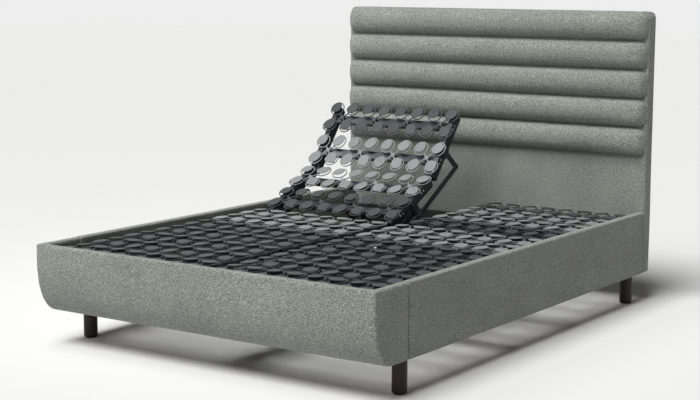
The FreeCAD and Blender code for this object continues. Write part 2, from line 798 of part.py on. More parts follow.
def lever_angle(section_angle, lever, gap):
    """Lever angle above level at which its roller lies gap below the rail of a section raised so far.

    The roller centre has to be (rail depth below the hinge + roller radius + gap) under the section's
    hinge line, and the shaft is shaft_drop straight below the hinge.
    """
    below = hinge_z.value - frame_z[0].value + size["roller_radius"].value + gap
    drop = size["shaft_drop"].value * math.cos(math.radians(section_angle))
    return section_angle + math.degrees(math.asin((drop - below) / lever))


def torsion_shaft(unit, node, y, toward, lever, lead, section_angle, gap):
    """Shaft with two lift levers with rollers, and the crank that the push nut bears on."""
    name = unit.name(node)
    centre = (y, shaft_z)
    ends = unit.span(-rail_out + size["base_inset"], rail_out - size["base_inset"])
    shapes = [rod(name + "_bar", "x", ends[0], ends[1], centre, size["shaft_radius"])]
    middle = (rail_in + rail_out) / 2
    tip = y + toward * lever
    for i, x in enumerate(unit.both(*around(middle, size["lever_width"]))):
        arm = (shaft_z - size["lever_below"], shaft_z + size["lever_above"])
        shapes.append(block("%s_lever_%d" % (name, i), x, (y, tip), arm))
        hub = size["shaft_radius"] + size["lever_hub_wall"]
        shapes.append(rod("%s_hub_%d" % (name, i), "x", x[0], x[1], centre, hub))
    for i, x in enumerate(unit.both(*around(middle, size["roller_width"]))):
        shapes.append(rod("%s_roller_%d" % (name, i), "x", x[0], x[1], (tip, shaft_z), size["roller_radius"]))
    x = sorted(unit.span(-size["crank_thick"] / 2, size["crank_thick"] / 2), key=lambda number: number.value)
    hanging = -90 - toward * lead
    shapes.append(bar_at(name + "_crank", centre, hanging, size["crank_radius"], 2 * size["crank_tip"], x))
    turn = math.radians(hanging)
    crank_tip = (as_size(y.value + size["crank_radius"].value * math.cos(turn)),
                 as_size(shaft_z.value + size["crank_radius"].value * math.sin(turn)))
    shapes.append(rod(name + "_crank_tip", "x", x[0], x[1], crank_tip, size["crank_tip"]))
    angle = lever_angle(section_angle, lever.value, gap)
    keep(name, fuse(name + "_welded", shapes), swing(y, shaft_z, toward * angle))
    return angle


def push_nut(unit, node, y, toward, crank_angle):
    """Nut on the spindle, just behind the tip of the crank."""
    name = unit.name(node)
    reach = size["crank_radius"].value * math.sin(math.radians(crank_angle))
    face = y + toward * (reach - size["crank_tip"] - size["nut_clear"])
    body = block(name + "_body", unit.span(-size["nut_width"] / 2, size["nut_width"] / 2),
                 sorted((face, face - toward * size["nut_length"]), key=lambda number: number.value),
                 around(nut_z, size["nut_height"]))
    bore = rod(name + "_bore", "y", face, face - toward * size["nut_length"], (unit.x(0), nut_z),
               size["spindle_radius"] + size["shaft_play"])
    keep(name, cut(name + "_cut", body, [bore]))


def rod_y(name, unit, start, end, z, radius):
    return rod(name, "y", start, end, (unit.x(0), z), radius)


def drive(unit):
    """Twin drive: a casing that hangs on both shafts, two motors in line and their spindles."""
    name = unit.name("drive")
    y = (thigh_y - size["housing_overlap"], back_y + size["housing_overlap"])
    z = (size["housing_bottom"], size["housing_top"])
    half, wall = size["housing_width"] / 2, size["housing_wall"]
    outer = block(name + "_outer", unit.span(-half, half), y, z)
    inner = block(name + "_inner", unit.span(wall - half, half - wall), (y[0] + wall, y[1] - wall),
                  (z[0] + wall, z[1] - wall))
    gland = (unit.x(half / 2), y[1] - 2 * size["gland_radius"])
    tip = z[0] - size["gland_length"]
    boss = rod(name + "_gland", "z", tip, z[0], gland, size["gland_radius"])
    bores = [inner, rod(name + "_inlet", "z", tip, z[0] + wall, gland, size["gland_bore"])]
    for i, axis in enumerate((thigh_y, back_y)):
        ends = unit.span(-half, half)
        bores.append(rod("%s_shaft_bore_%d" % (name, i), "x", ends[0], ends[1], (axis, shaft_z),
                         size["shaft_radius"] + size["shaft_play"]))
    keep(name + "_housing", cut(name + "_cut", fuse(name + "_shell", [outer, boss]), bores))
    middle = (thigh_y + back_y) / 2
    motors = []
    room = size["crank_radius"] + size["nut_length"] + size["crank_tip"]
    for i, (axis, toward) in enumerate(((thigh_y, -1), (back_y, 1))):
        can_end = axis - toward * room
        can = rod_y("%s_motor_%d" % (name, i), unit, middle, can_end, nut_z, size["motor_radius"])
        wall_face = axis + toward * (size["housing_overlap"] - wall)
        spindle = rod_y("%s_spindle_%d" % (name, i), unit, can_end, wall_face, nut_z, size["spindle_radius"])
        motors.append(fuse("%s_motor_unit_%d" % (name, i), [can, spindle]))
    keep(name + "_motors", group(name + "_motor_set", motors))


def build_unit(unit, module):
    base_frame(unit)
    seat(unit)
    legs_sections(unit)
    for section in ("seat", "thigh", "calf"):
        disc_field(unit, section, SECTION_BARS[section], module)
    upper_sections(unit, module)
    gap = (size["raised_roller_gap"] if unit.back_angle else size["roller_gap"]).value
    angle = torsion_shaft(unit, "back_shaft", back_y, 1, size["back_lever"], size["back_crank_lead"].value,
                          unit.back_angle, gap)
    push_nut(unit, "back_nut", back_y, 1, angle - size["back_crank_lead"].value)
    angle = torsion_shaft(unit, "leg_shaft", thigh_y, -1, size["leg_lever"], size["leg_crank_lead"].value,
                          0, size["roller_gap"].value)
    push_nut(unit, "leg_nut", thigh_y, -1, angle - size["leg_crank_lead"].value)
    drive(unit)


# ---------------------------------------------------------------- build, check and write

foot_panel()
side_rails()
headboard()
brackets(legs())
ledges()
spring = disc_module("spring_module")
document.recompute()
build_unit(Unit("left", -1, size["left_back_angle"].value, size["left_head_angle"].value), spring)
build_unit(Unit("right", 1, 0, 0), spring)
document.recompute()

for obj in document.Objects:
    if "Invalid" in obj.State or "Error" in obj.State:
        raise RuntimeError("not built: " + obj.Name)
for node, obj in subparts.items():
    if obj.Shape.isNull() or not obj.Shape.isValid():
        raise RuntimeError("bad shape: " + node)

os.makedirs("parts", exist_ok=True)
for node, obj in subparts.items():
    obj.Shape.exportStep("parts/" + node + ".step")
print(len(subparts), "sub-parts,", sum(len(obj.Shape.Solids) for obj in subparts.values()), "solids")
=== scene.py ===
# %% [markdown]
# # An upholstered bed with two adjustable disc-spring bases
#
# The engineering model comes first: every frame, hinge and shaft is already at its real size. This lesson
# dresses that model. The stiff parts keep their shape and get a finish, and the soft or finely shaped
# parts (padded panels, headboard rolls, spring discs) are made again as detailed surfaces. Lengths are in
# metres and angles in degrees throughout.

import json
import math

import bmesh
import bpy
import numpy as np
from mathutils import Matrix, Vector


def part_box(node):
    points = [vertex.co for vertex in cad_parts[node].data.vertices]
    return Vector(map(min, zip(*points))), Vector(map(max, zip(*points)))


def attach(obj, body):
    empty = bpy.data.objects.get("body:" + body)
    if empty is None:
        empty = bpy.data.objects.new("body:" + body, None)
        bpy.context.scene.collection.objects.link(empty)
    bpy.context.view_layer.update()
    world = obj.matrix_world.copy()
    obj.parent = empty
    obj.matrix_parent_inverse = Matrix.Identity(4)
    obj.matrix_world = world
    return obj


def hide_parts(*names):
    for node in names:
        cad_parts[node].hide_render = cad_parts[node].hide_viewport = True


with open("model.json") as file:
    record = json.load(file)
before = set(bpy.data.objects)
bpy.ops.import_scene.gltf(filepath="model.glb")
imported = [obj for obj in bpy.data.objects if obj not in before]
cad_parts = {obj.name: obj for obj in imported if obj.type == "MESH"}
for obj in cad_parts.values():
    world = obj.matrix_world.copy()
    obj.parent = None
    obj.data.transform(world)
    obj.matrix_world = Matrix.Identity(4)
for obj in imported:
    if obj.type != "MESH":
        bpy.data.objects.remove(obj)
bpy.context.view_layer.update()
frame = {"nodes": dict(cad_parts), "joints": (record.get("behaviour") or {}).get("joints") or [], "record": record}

# %% [markdown]
# A camera is a place, a direction and a lens. The bed is seen from its foot, a little to the right and
# from above head height, through a long lens, so that its far end is hardly smaller than its near end.
# The rotation is built from three plain turns: around the vertical, tilted down, and a slight roll.

# %% Camera
CAMERA_PLACE = (3.624, -5.358, 1.459)
CAMERA_YAW, CAMERA_PITCH, CAMERA_ROLL = 34.63, -8.26, 0.20
CAMERA_LENS = 80.1


def linked(name, data):
    """A new object of the scene that shows this data: a camera, a lamp or a mesh."""
    made = bpy.data.objects.new(name, data)
    bpy.context.scene.collection.objects.link(made)
    return made


def make_camera():
    """Matrix = place, then yaw, then tilt, then roll. Unturned, a camera looks straight down."""
    data = bpy.data.cameras.new("camera")
    data.lens = CAMERA_LENS
    camera = linked("camera", data)
    turn = Matrix.Rotation(math.radians(CAMERA_YAW), 4, "Z")
    tilt = Matrix.Rotation(math.radians(90 + CAMERA_PITCH), 4, "X")
    roll = Matrix.Rotation(math.radians(CAMERA_ROLL), 4, "Z")
    camera.matrix_world = Matrix.Translation(CAMERA_PLACE) @ turn @ tilt @ roll
    bpy.context.scene.camera = camera
    return camera


print("camera", make_camera().name, "lens", CAMERA_LENS)

# %% [markdown]
# Node trees are easier to read when one helper places a node, sets it and connects it. An input is either
# a plain value or another node's output socket. A noise hardly ever leaves the range from 0.3 to 0.7, so
# that is the range that gets spread over the values a finish wants.

# %% Node helper
USUAL_NOISE = (0.3, 0.7)


def node(tree, kind, inputs=None, **settings):
    """Adds a node, sets its settings, and gives each input a plain value or a link."""
    made = tree.nodes.new(kind)
    for key, value in settings.items():
        setattr(made, key, value)
    for key, value in (inputs or {}).items():
        if isinstance(value, bpy.types.NodeSocket):
            tree.links.new(value, made.inputs[key])
        else:
            made.inputs[key].default_value = value
    return made


def math_node(tree, operation, a, b=0.0):
    """One operation on two numbers; b is left out where the operation takes one."""
    return node(tree, "ShaderNodeMath", {0: a, 1: b}, operation=operation).outputs[0]


def weighted(tree, a, weight_a, b, weight_b):
    """a times its weight plus b times its weight."""
    parts = [math_node(tree, "MULTIPLY", *pair) for pair in ((a, weight_a), (b, weight_b))]
    return math_node(tree, "ADD", *parts)


def ramp(tree, value, low, high, to_low=0.0, to_high=1.0):
    """Maps low..high to to_low..to_high and stops at both ends."""
    inputs = {"Value": value, "From Min": low, "From Max": high, "To Min": to_low, "To Max": to_high}
    return node(tree, "ShaderNodeMapRange", inputs, clamp=True).outputs["Result"]


def spread(tree, value, to_low, to_high):
    """Maps the usual range of a noise to to_low..to_high."""
    return ramp(tree, value, *USUAL_NOISE, to_low, to_high)


def mix_colour(tree, factor, a, b, blend_type="MIX"):
    """Goes from colour a to colour b with the factor; MULTIPLY gives a times b instead."""
    inputs = {0: factor, 6: a, 7: b}
    return node(tree, "ShaderNodeMix", inputs, data_type="RGBA", blend_type=blend_type).outputs[2]


def tinted(tree, colour, value, darkest, palest):
    """The colour times a grey that goes from darkest to palest with a noise."""
    shade = spread(tree, value, darkest, palest)
    grey = node(tree, "ShaderNodeCombineColor", {0: shade, 1: shade, 2: shade}).outputs[0]
    return mix_colour(tree, 1.0, colour, grey, "MULTIPLY")


def noise(tree, vector, scale, detail, roughness):
    """A smooth random value around 0.5; scale is how many blotches fit in a metre."""
    inputs = {"Vector": vector, "Scale": scale, "Detail": detail, "Roughness": roughness}
    return node(tree, "ShaderNodeTexNoise", inputs).outputs["Fac"]


def new_group(name, inputs, outputs):
    """An empty shader group with named sockets: inputs and outputs are (name, socket type, default)."""
    group = bpy.data.node_groups.new(name, "ShaderNodeTree")
    for direction, sockets in (("INPUT", inputs), ("OUTPUT", outputs)):
        for label, kind, default in sockets:
            socket = group.interface.new_socket(label, in_out=direction, socket_type="NodeSocket" + kind)
            if default is not None:
                socket.default_value = default
    return group, group.nodes.new("NodeGroupInput").outputs, group.nodes.new("NodeGroupOutput").inputs


print("node helpers", [helper.__name__ for helper in (math_node, weighted, ramp, spread, tinted, noise)])

# %% [markdown]
# Soft light from a known side is what makes cloth look like cloth. A very wide sun stands high up in
# front of the bed, so the tops of the rolls are brightest, the front panel is half lit and the long
# right side falls into shade. A square lamp on the left lifts the left part of the headboard, and the room
# gives a weak, slightly warm light from all sides. The camera sees a pale background behind the bed,
# through the Light Path node, and that background lights nothing.

# %% Light and floor
KEY_DIRECTION, KEY_ANGLE, KEY_STRENGTH = (-0.08, -0.58, 1.0), 34.0, 4.4
ROOM_COLOUR, ROOM_STRENGTH = (1.0, 0.985, 0.90, 1.0), 0.09
BEHIND_COLOUR, BEHIND_STRENGTH = (1.0, 1.0, 1.0, 1.0), 0.85
FLOOR_COLOUR, FLOOR_ROUGHNESS, FLOOR_SHINE = (0.64, 0.64, 0.635, 1.0), 0.9, 0.2
FLOOR_HALF = 30.0
SIDE_LAMP_PLACE, SIDE_LAMP_AIM = Vector((-1.15, -1.1, 2.6)), Vector((-0.45, 1.0, 1.0))
SIDE_LAMP_SIZE, SIDE_LAMP_POWER = 1.1, 24.0


def key_lamp():
    """A distant lamp. Its direction points to it, and its angle is how wide it looks from the ground."""
    data = bpy.data.lights.new("key", "SUN")
    data.angle, data.energy = math.radians(KEY_ANGLE), KEY_STRENGTH
    lamp = linked("key", data)
    lamp.matrix_world = Vector(KEY_DIRECTION).to_track_quat("Z", "Y").to_matrix().to_4x4()
    return lamp


def side_lamp():
    """A square lamp high on the left that brightens the left part of the headboard."""
    data = bpy.data.lights.new("side", "AREA")
    data.shape, data.size, data.energy = "SQUARE", SIDE_LAMP_SIZE, SIDE_LAMP_POWER
    turn = (SIDE_LAMP_PLACE - SIDE_LAMP_AIM).to_track_quat("Z", "Y").to_matrix().to_4x4()
    lamp = linked("side", data)
    lamp.matrix_world = Matrix.Translation(SIDE_LAMP_PLACE) @ turn
    return lamp


def seen_directly(tree):
    """1 for camera, mirror and glass rays, 0 for the rays that carry light to other surfaces."""
    rays = node(tree, "ShaderNodeLightPath").outputs
    straight = math_node(tree, "MAXIMUM", rays["Is Camera Ray"], rays["Is Glossy Ray"])
    return math_node(tree, "MAXIMUM", straight, rays["Is Transmission Ray"])


def make_room():
    """Lights the scene with the room's colour; rays that are seen directly meet the background."""
    world = bpy.data.worlds.new("room")
    world.use_nodes = True
    tree = world.node_tree
    tree.nodes.clear()
    soft = node(tree, "ShaderNodeBackground", {"Color": ROOM_COLOUR, "Strength": ROOM_STRENGTH})
    behind = node(tree, "ShaderNodeBackground", {"Color": BEHIND_COLOUR, "Strength": BEHIND_STRENGTH})
    inputs = {0: seen_directly(tree), 1: soft.outputs[0], 2: behind.outputs[0]}
    shader = node(tree, "ShaderNodeMixShader", inputs)
    node(tree, "ShaderNodeOutputWorld", {"Surface": shader.outputs[0]})
    bpy.context.scene.world = world
    bpy.context.scene.view_settings.view_transform = "Standard"


def make_floor():
    """A large pale square on the ground. It rides on no body, so it's no piece of the bed."""
    mesh = bpy.data.meshes.new("floor")
    corners = [(x * FLOOR_HALF, y * FLOOR_HALF, 0) for x, y in ((-1, -1), (1, -1), (1, 1), (-1, 1))]
    mesh.from_pydata(corners, [], [(0, 1, 2, 3)])
    material = bpy.data.materials.new("floor_pale")
    material.use_nodes = True
    shader = material.node_tree.nodes["Principled BSDF"]
    shader.inputs["Base Color"].default_value = FLOOR_COLOUR
    shader.inputs["Roughness"].default_value = FLOOR_ROUGHNESS
    shader.inputs["Specular IOR Level"].default_value = FLOOR_SHINE
    mesh.materials.append(material)
    linked("floor", mesh)


make_room()
make_floor()
print("lamps", key_lamp().name, side_lamp().name)

# %% [markdown]
# The upholstery is a heathered cloth: pale, middle and dark wool fibres spun together, so the colour
# changes from one millimetre to the next. Three noises do that. A fine one is the single fibre, a coarser
# one the fleck, and a very wide one is the slight unevenness of the whole bolt. The weave itself is a
# little relief, products of sine waves along two axes added up, which lies the right way on every side.

# %% Shared effect: marl cloth
# Detail and roughness of the three noises.
FLECK_NOISE, FIBRE_NOISE, BOLT_NOISE = (3.0, 0.62), (2.0, 0.7), (2.0, 0.5)
FLECK_SHARE, FIBRE_FINER = 0.62, 2.7
BOLT_SCALE, BOLT_SHADES = 5.0, (0.93, 1.05)
DARK_TO_MIDDLE, MIDDLE_TO_PALE = (0.38, 0.50), (0.50, 0.64)
WEAVE_HEIGHT, FLECK_HEIGHT = 0.28, 2.4


def marl_group():
    """Colour = dark, middle or pale by fleck and fibre; height = weave plus flecks.

    weave = sin x sin y + sin y sin z + sin z sin x, with x, y and z multiplied by the thread scale.
    """
    group, given, out = new_group("marl_cloth", [
        ("Vector", "Vector", None), ("Pale", "Color", (0.5, 0.5, 0.5, 1)),
        ("Middle", "Color", (0.3, 0.3, 0.3, 1)), ("Dark", "Color", (0.1, 0.1, 0.1, 1)),
        ("Fleck Scale", "Float", 240.0), ("Thread", "Float", 2400.0),
    ], [("Color", "Color", None), ("Height", "Float", None)])
    fleck = noise(group, given["Vector"], given["Fleck Scale"], *FLECK_NOISE)
    fibre_scale = math_node(group, "MULTIPLY", given["Fleck Scale"], FIBRE_FINER)
    fibre = noise(group, given["Vector"], fibre_scale, *FIBRE_NOISE)
    bolt = noise(group, given["Vector"], BOLT_SCALE, *BOLT_NOISE)
    mixed = weighted(group, fleck, FLECK_SHARE, fibre, 1 - FLECK_SHARE)
    lower = mix_colour(group, ramp(group, mixed, *DARK_TO_MIDDLE), given["Dark"], given["Middle"])
    colour = mix_colour(group, ramp(group, mixed, *MIDDLE_TO_PALE), lower, given["Pale"])
    group.links.new(tinted(group, colour, bolt, *BOLT_SHADES), out["Color"])
    parts = node(group, "ShaderNodeSeparateXYZ", {0: given["Vector"]}).outputs
    waves = [math_node(group, "SINE", math_node(group, "MULTIPLY", parts[i], given["Thread"]))
             for i in range(3)]
    pairs = [math_node(group, "MULTIPLY", waves[i], waves[(i + 1) % 3]) for i in range(3)]
    weave = math_node(group, "ADD", math_node(group, "ADD", pairs[0], pairs[1]), pairs[2])
    group.links.new(weighted(group, weave, WEAVE_HEIGHT, mixed, FLECK_HEIGHT), out["Height"])
    return group


MARL = marl_group()
print("group", MARL.name)

# %% [markdown]
# Moulded plastic and powder coat have a fine pebbly skin, and their gloss changes slowly from place to
# place. On a coated tube the edges get a paler colour in broken patches, a painted highlight where an edge
# catches the light. The Bevel node finds such edges: it gives the direction that a rounded edge would face, and
# the two directions are compared.

# %% Shared effects: moulded grain, painted edge highlight
GRAIN_NOISE, GLOSS_NOISE, GLOSS_COARSER = (2.0, 0.6), (3.0, 0.6), 0.02
# Where the painted edge highlight goes: how far an edge leans, and the noise that breaks it into patches.
EDGE_LEAN = (0.98, 0.80)
HIGHLIGHT_SCALE, HIGHLIGHT_NOISE, HIGHLIGHT_GAPS = 130.0, (4.0, 0.7), (0.42, 0.62)


def grain_group():
    """Height is a fine noise, and gloss is the same kind of noise at a fiftieth of its scale."""
    group, given, out = new_group("moulded_grain", [("Vector", "Vector", None), ("Scale", "Float", 900.0)],
                                  [("Height", "Float", None), ("Gloss", "Float", None)])
    group.links.new(noise(group, given["Vector"], given["Scale"], *GRAIN_NOISE), out["Height"])
    slow_scale = math_node(group, "MULTIPLY", given["Scale"], GLOSS_COARSER)
    group.links.new(noise(group, given["Vector"], slow_scale, *GLOSS_NOISE), out["Gloss"])
    return group


def edge_highlight_group():
    """Mask of the painted edge highlight = how far the rounded direction leans from the flat one, times a noise
    with gaps.

    The lean is read from the product of the two directions, which is 1 where they are the same.
    """
    group, given, out = new_group("painted_edge_highlight", [("Vector", "Vector", None), ("Radius", "Float", 0.002)],
                                  [("Mask", "Float", None)])
    rounded = node(group, "ShaderNodeBevel", {"Radius": given["Radius"]}, samples=4).outputs[0]
    flat = node(group, "ShaderNodeNewGeometry").outputs["Normal"]
    same = node(group, "ShaderNodeVectorMath", {0: rounded, 1: flat}, operation="DOT_PRODUCT")
    edge = ramp(group, same.outputs["Value"], *EDGE_LEAN)
    broken = ramp(group, noise(group, given["Vector"], HIGHLIGHT_SCALE, *HIGHLIGHT_NOISE), *HIGHLIGHT_GAPS)
    group.links.new(math_node(group, "MULTIPLY", edge, broken), out["Mask"])
    return group


GRAIN, EDGE_HIGHLIGHT = grain_group(), edge_highlight_group()
print("groups", GRAIN.name, EDGE_HIGHLIGHT.name)

# %% [markdown]
# A finish starts as a Principled shader and a place to read patterns from: the object's own coordinates,
# which are metres in the bed's frame because every piece sits at the origin. Values that are the same all
# over the surface are set straight on the shader.

# %% Cloth finishes
WOOL = {"Pale": (0.50, 0.515, 0.475, 1), "Middle": (0.210, 0.220, 0.196, 1),
        "Dark": (0.072, 0.076, 0.064, 1)}
LINING = {"Pale": (0.045, 0.045, 0.043, 1), "Middle": (0.030, 0.030, 0.029, 1),
          "Dark": (0.018, 0.018, 0.017, 1)}
WOOL_FLECK, WOOL_RELIEF = 230.0, 0.0011
LINING_FLECK, LINING_RELIEF = 420.0, 0.0004


def new_material(name, **constants):
    """A material, its tree, its shader and its object coordinates; constants are plain shader values."""
    material = bpy.data.materials.new(name)
    material.use_nodes = True
    tree = material.node_tree
    shader = tree.nodes["Principled BSDF"]
    for key, value in constants.items():
        shader.inputs[key.replace("_", " ")].default_value = value
    return material, tree, shader, node(tree, "ShaderNodeTexCoord").outputs["Object"]


def use_group(tree, group, **inputs):
    """Places a shared effect in a material; an underscore in a name stands for a space."""
    named = {key.replace("_", " "): value for key, value in inputs.items()}
    return node(tree, "ShaderNodeGroup", named, node_tree=group).outputs


def bump(tree, shader, height, distance):
    """Turns a height between 0 and 1 into relief of that depth."""
    made = node(tree, "ShaderNodeBump", {"Height": height, "Distance": distance, "Strength": 1.0})
    tree.links.new(made.outputs[0], shader.inputs["Normal"])


def cloth(name, colours, fleck, relief):
    """Marl colour and relief on a rough shader, with the faint sheen of short fibres."""
    material, tree, shader, place = new_material(name, Roughness=0.95, Sheen_Weight=0.22, Sheen_Roughness=0.5,
                                                 Specular_IOR_Level=0.18)
    marl = use_group(tree, MARL, Vector=place, Fleck_Scale=fleck, **colours)
    tree.links.new(marl["Color"], shader.inputs["Base Color"])
    bump(tree, shader, marl["Height"], relief)
    return material


rail_fabric = cloth("rail_fabric", WOOL, WOOL_FLECK, WOOL_RELIEF)
headboard_fabric = cloth("headboard_fabric", WOOL, WOOL_FLECK, WOOL_RELIEF)
rear_fabric = cloth("rear_fabric", LINING, LINING_FLECK, LINING_RELIEF)
print("cloth", rail_fabric.name, headboard_fabric.name, rear_fabric.name)

# %% [markdown]
# The discs, plugs and casings are satin moulded plastic, and the tubes are powder coated steel. Each has
# its own relief and a gloss that changes a little over the surface, because perfectly even gloss looks
# unreal.

# %% Plastic and coated steel
PLASTIC_SHADES, PLASTIC_RELIEF, CASING_RELIEF = (0.88, 1.10), 0.00012, 0.00030
COAT_GRAIN, COAT_SHINE, COAT_RELIEF = 1400.0, 0.32, 0.00012


def uneven_gloss(tree, shader, value, low, high):
    """Roughness goes from low to high with a noise."""
    tree.links.new(spread(tree, value, low, high), shader.inputs["Roughness"])


def plastic(name, colour, roughness, shine, grain, relief=PLASTIC_RELIEF):
    """Colour times a slow grey, roughness around its mean, and a fine grain as relief."""
    material, tree, shader, place = new_material(name, Specular_IOR_Level=shine)
    fine = use_group(tree, GRAIN, Vector=place, Scale=grain)
    tree.links.new(tinted(tree, colour, fine["Gloss"], *PLASTIC_SHADES), shader.inputs["Base Color"])
    uneven_gloss(tree, shader, fine["Gloss"], roughness - 0.06, roughness + 0.08)
    bump(tree, shader, fine["Height"], relief)
    return material


def coated_steel(name, colour, highlight_colour, roughness):
    """The coat's colour, and a paler colour, a painted edge highlight, where the edge mask is 1."""
    material, tree, shader, place = new_material(name, Specular_IOR_Level=COAT_SHINE)
    fine = use_group(tree, GRAIN, Vector=place, Scale=COAT_GRAIN)
    # The edge mask: a paler colour painted on the edges as a highlight.
    edge = use_group(tree, EDGE_HIGHLIGHT, Vector=place)["Mask"]
    tree.links.new(mix_colour(tree, edge, colour, highlight_colour), shader.inputs["Base Color"])
    uneven_gloss(tree, shader, fine["Gloss"], roughness - 0.07, roughness + 0.08)
    bump(tree, shader, fine["Height"], COAT_RELIEF)
    return material


disc_dark = plastic("disc_dark", (0.040, 0.044, 0.047, 1), 0.52, 0.22, 800.0)
disc_light = plastic("disc_light", (0.178, 0.186, 0.188, 1), 0.52, 0.24, 800.0)
drive_casing = plastic("drive_casing", (0.022, 0.022, 0.024, 1), 0.50, 0.5, 500.0, CASING_RELIEF)
nut_plastic = plastic("nut_plastic", (0.62, 0.61, 0.57, 1), 0.45, 0.5, 700.0)
glide_plastic = plastic("glide_plastic", (0.020, 0.020, 0.020, 1), 0.55, 0.5, 700.0)
# The second colour of each coat is the painted edge highlight.
frame_steel = coated_steel("frame_steel", (0.020, 0.025, 0.031, 1), (0.10, 0.115, 0.13, 1), 0.48)
base_steel = coated_steel("base_steel", (0.014, 0.014, 0.015, 1), (0.06, 0.06, 0.065, 1), 0.48)
print("plastic and steel", disc_dark.name, disc_light.name, frame_steel.name, base_steel.name)

# %% [markdown]
# The small hardware is zinc plated, a bright and a dull grey in blotches. The legs are beech stained almost
# black, with the grain upright, and the blocks inside are raw wood. Grain is a noise that is stretched
# along the trunk: broad rings, and six times finer pores.

# %% Bare metal and wood
ZINC_GRAIN, ZINC_BLOTCHES, ZINC_RELIEF = 1100.0, (0.35, 0.65), 0.00005
DULL_ZINC = (0.45, 0.46, 0.48, 1)
RING_NOISE, PORE_NOISE, RING_SHARE, PORE_FINER = (4.0, 0.65), (2.0, 0.8), 0.7, 6
RING_COLOURS, WOOD_SHINE, WOOD_GLOSS = (0.35, 0.65), 0.25, 0.06
UPRIGHT, LENGTHWISE = (1.0, 1.0, 0.06), (1.0, 0.08, 1.0)


def bare_metal(name, colour, roughness):
    """Metal whose colour goes to dull zinc and whose roughness follows the grain."""
    material, tree, shader, place = new_material(name, Metallic=1.0)
    fine = use_group(tree, GRAIN, Vector=place, Scale=ZINC_GRAIN)
    dull = ramp(tree, fine["Gloss"], *ZINC_BLOTCHES)
    tree.links.new(mix_colour(tree, dull, colour, DULL_ZINC), shader.inputs["Base Color"])
    uneven_gloss(tree, shader, fine["Height"], roughness - 0.08, roughness + 0.12)
    bump(tree, shader, fine["Height"], ZINC_RELIEF)
    return material


def timber(name, pale, dark, stretch, ring_scale, roughness, relief):
    """Grain = 0.7 rings + 0.3 pores, and it runs along the axis whose stretch is smallest."""
    material, tree, shader, place = new_material(name, Specular_IOR_Level=WOOD_SHINE)
    long = node(tree, "ShaderNodeMapping", {"Vector": place, "Scale": stretch}).outputs[0]
    rings = noise(tree, long, ring_scale, *RING_NOISE)
    pores = noise(tree, long, ring_scale * PORE_FINER, *PORE_NOISE)
    grain = weighted(tree, rings, RING_SHARE, pores, 1 - RING_SHARE)
    ring = ramp(tree, grain, *RING_COLOURS)
    tree.links.new(mix_colour(tree, ring, dark, pale), shader.inputs["Base Color"])
    uneven_gloss(tree, shader, grain, roughness + WOOD_GLOSS, roughness - WOOD_GLOSS)
    bump(tree, shader, grain, relief)
    return material


zinc_steel = bare_metal("zinc_steel", (0.62, 0.63, 0.65, 1), 0.32)
leg_wood = timber("leg_wood", (0.026, 0.0125, 0.0060, 1), (0.011, 0.0055, 0.0028, 1), UPRIGHT, 190.0,
                  0.38, 0.00012)
board_wood = timber("board_wood", (0.56, 0.41, 0.25, 1), (0.36, 0.24, 0.13, 1), LENGTHWISE, 120.0,
                    0.62, 0.00020)
# The names are written out, because the engineering parts come with materials of the same names, and
# Blender adds a number to a name that is taken.
FINISHES = {
    "rail_fabric": rail_fabric, "headboard_fabric": headboard_fabric, "rear_fabric": rear_fabric,
    "disc_dark": disc_dark, "disc_light": disc_light, "frame_steel": frame_steel, "base_steel": base_steel,
    "zinc_steel": zinc_steel, "drive_casing": drive_casing, "nut_plastic": nut_plastic,
    "glide_plastic": glide_plastic, "leg_wood": leg_wood, "board_wood": board_wood,
}
print("finishes", len(FINISHES))

# %% [markdown]
# Every engineering part that keeps its shape gets the finish that its record names.

# %% Finish the carried-over parts
SLOT_OF = {part["node"]: part["material_slot"] for part in frame["record"]["subparts"]}
for name, part in frame["nodes"].items():
    part.data.materials.clear()
    part.data.materials.append(FINISHES[SLOT_OF[name]])
print("finished", len(SLOT_OF), "parts")

# %% [markdown]
# A surface is an array of points and an array of faces. This helper turns the two into a piece, gives it
# its finish, lets it ride on a body of the model, and hides the plain parts that it stands for.

# %% Piece helper


def coat(piece, finish):
    """The finish on every face, shaded smoothly."""
    piece.data.materials.clear()
    piece.data.materials.append(FINISHES[finish])
    piece.data.shade_smooth()


def dress(piece, finish, body, replaces, smooth):
    """Finish, body and replaced parts; smooth is the angle above which an edge stays sharp."""
    coat(piece, finish)
    piece.data.set_sharp_from_angle(angle=math.radians(smooth))
    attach(piece, body)
    if replaces:
        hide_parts(*replaces)
    print(piece.name, len(piece.data.vertices), "points")
    return piece


def make_piece(name, points, faces, finish, body, replaces=(), smooth=35.0):
    """A dressed piece from an array of points and its faces."""
    mesh = bpy.data.meshes.new(name)
    mesh.from_pydata(np.asarray(points, float).tolist(), [], [list(face) for face in faces])
    mesh.update()
    return dress(linked(name, mesh), finish, body, replaces, smooth)


print("piece helpers", [helper.__name__ for helper in (coat, dress, make_piece)])

# %% [markdown]
# A padded panel is a board wrapped in thin foam and cloth. Its edges are round, not sharp, and its faces
# are never quite flat. The shape comes in two steps. First the skin of a box is covered with a grid. Then
# each point is pulled to the nearest point of a box that is smaller by the edge radius, and pushed out
# again by that radius, which rounds all edges and corners at once.

# %% Rounded slab
EDGE_STEPS = 5
SAME_DIGITS = 6
TINY = 1e-9


def edge_stations(low, high, radius, step):
    """Places along one side: radius times tan of 0 to 45 degrees near the ends, even steps between."""
    near = radius * np.tan(np.linspace(0, math.pi / 4, EDGE_STEPS))
    count = max(2, int(round((high - low - 2 * radius) / step)) + 1)
    middle = np.linspace(low + radius, high - radius, count)
    return np.concatenate([low + near[:-1], middle, high - near[:-1][::-1]])


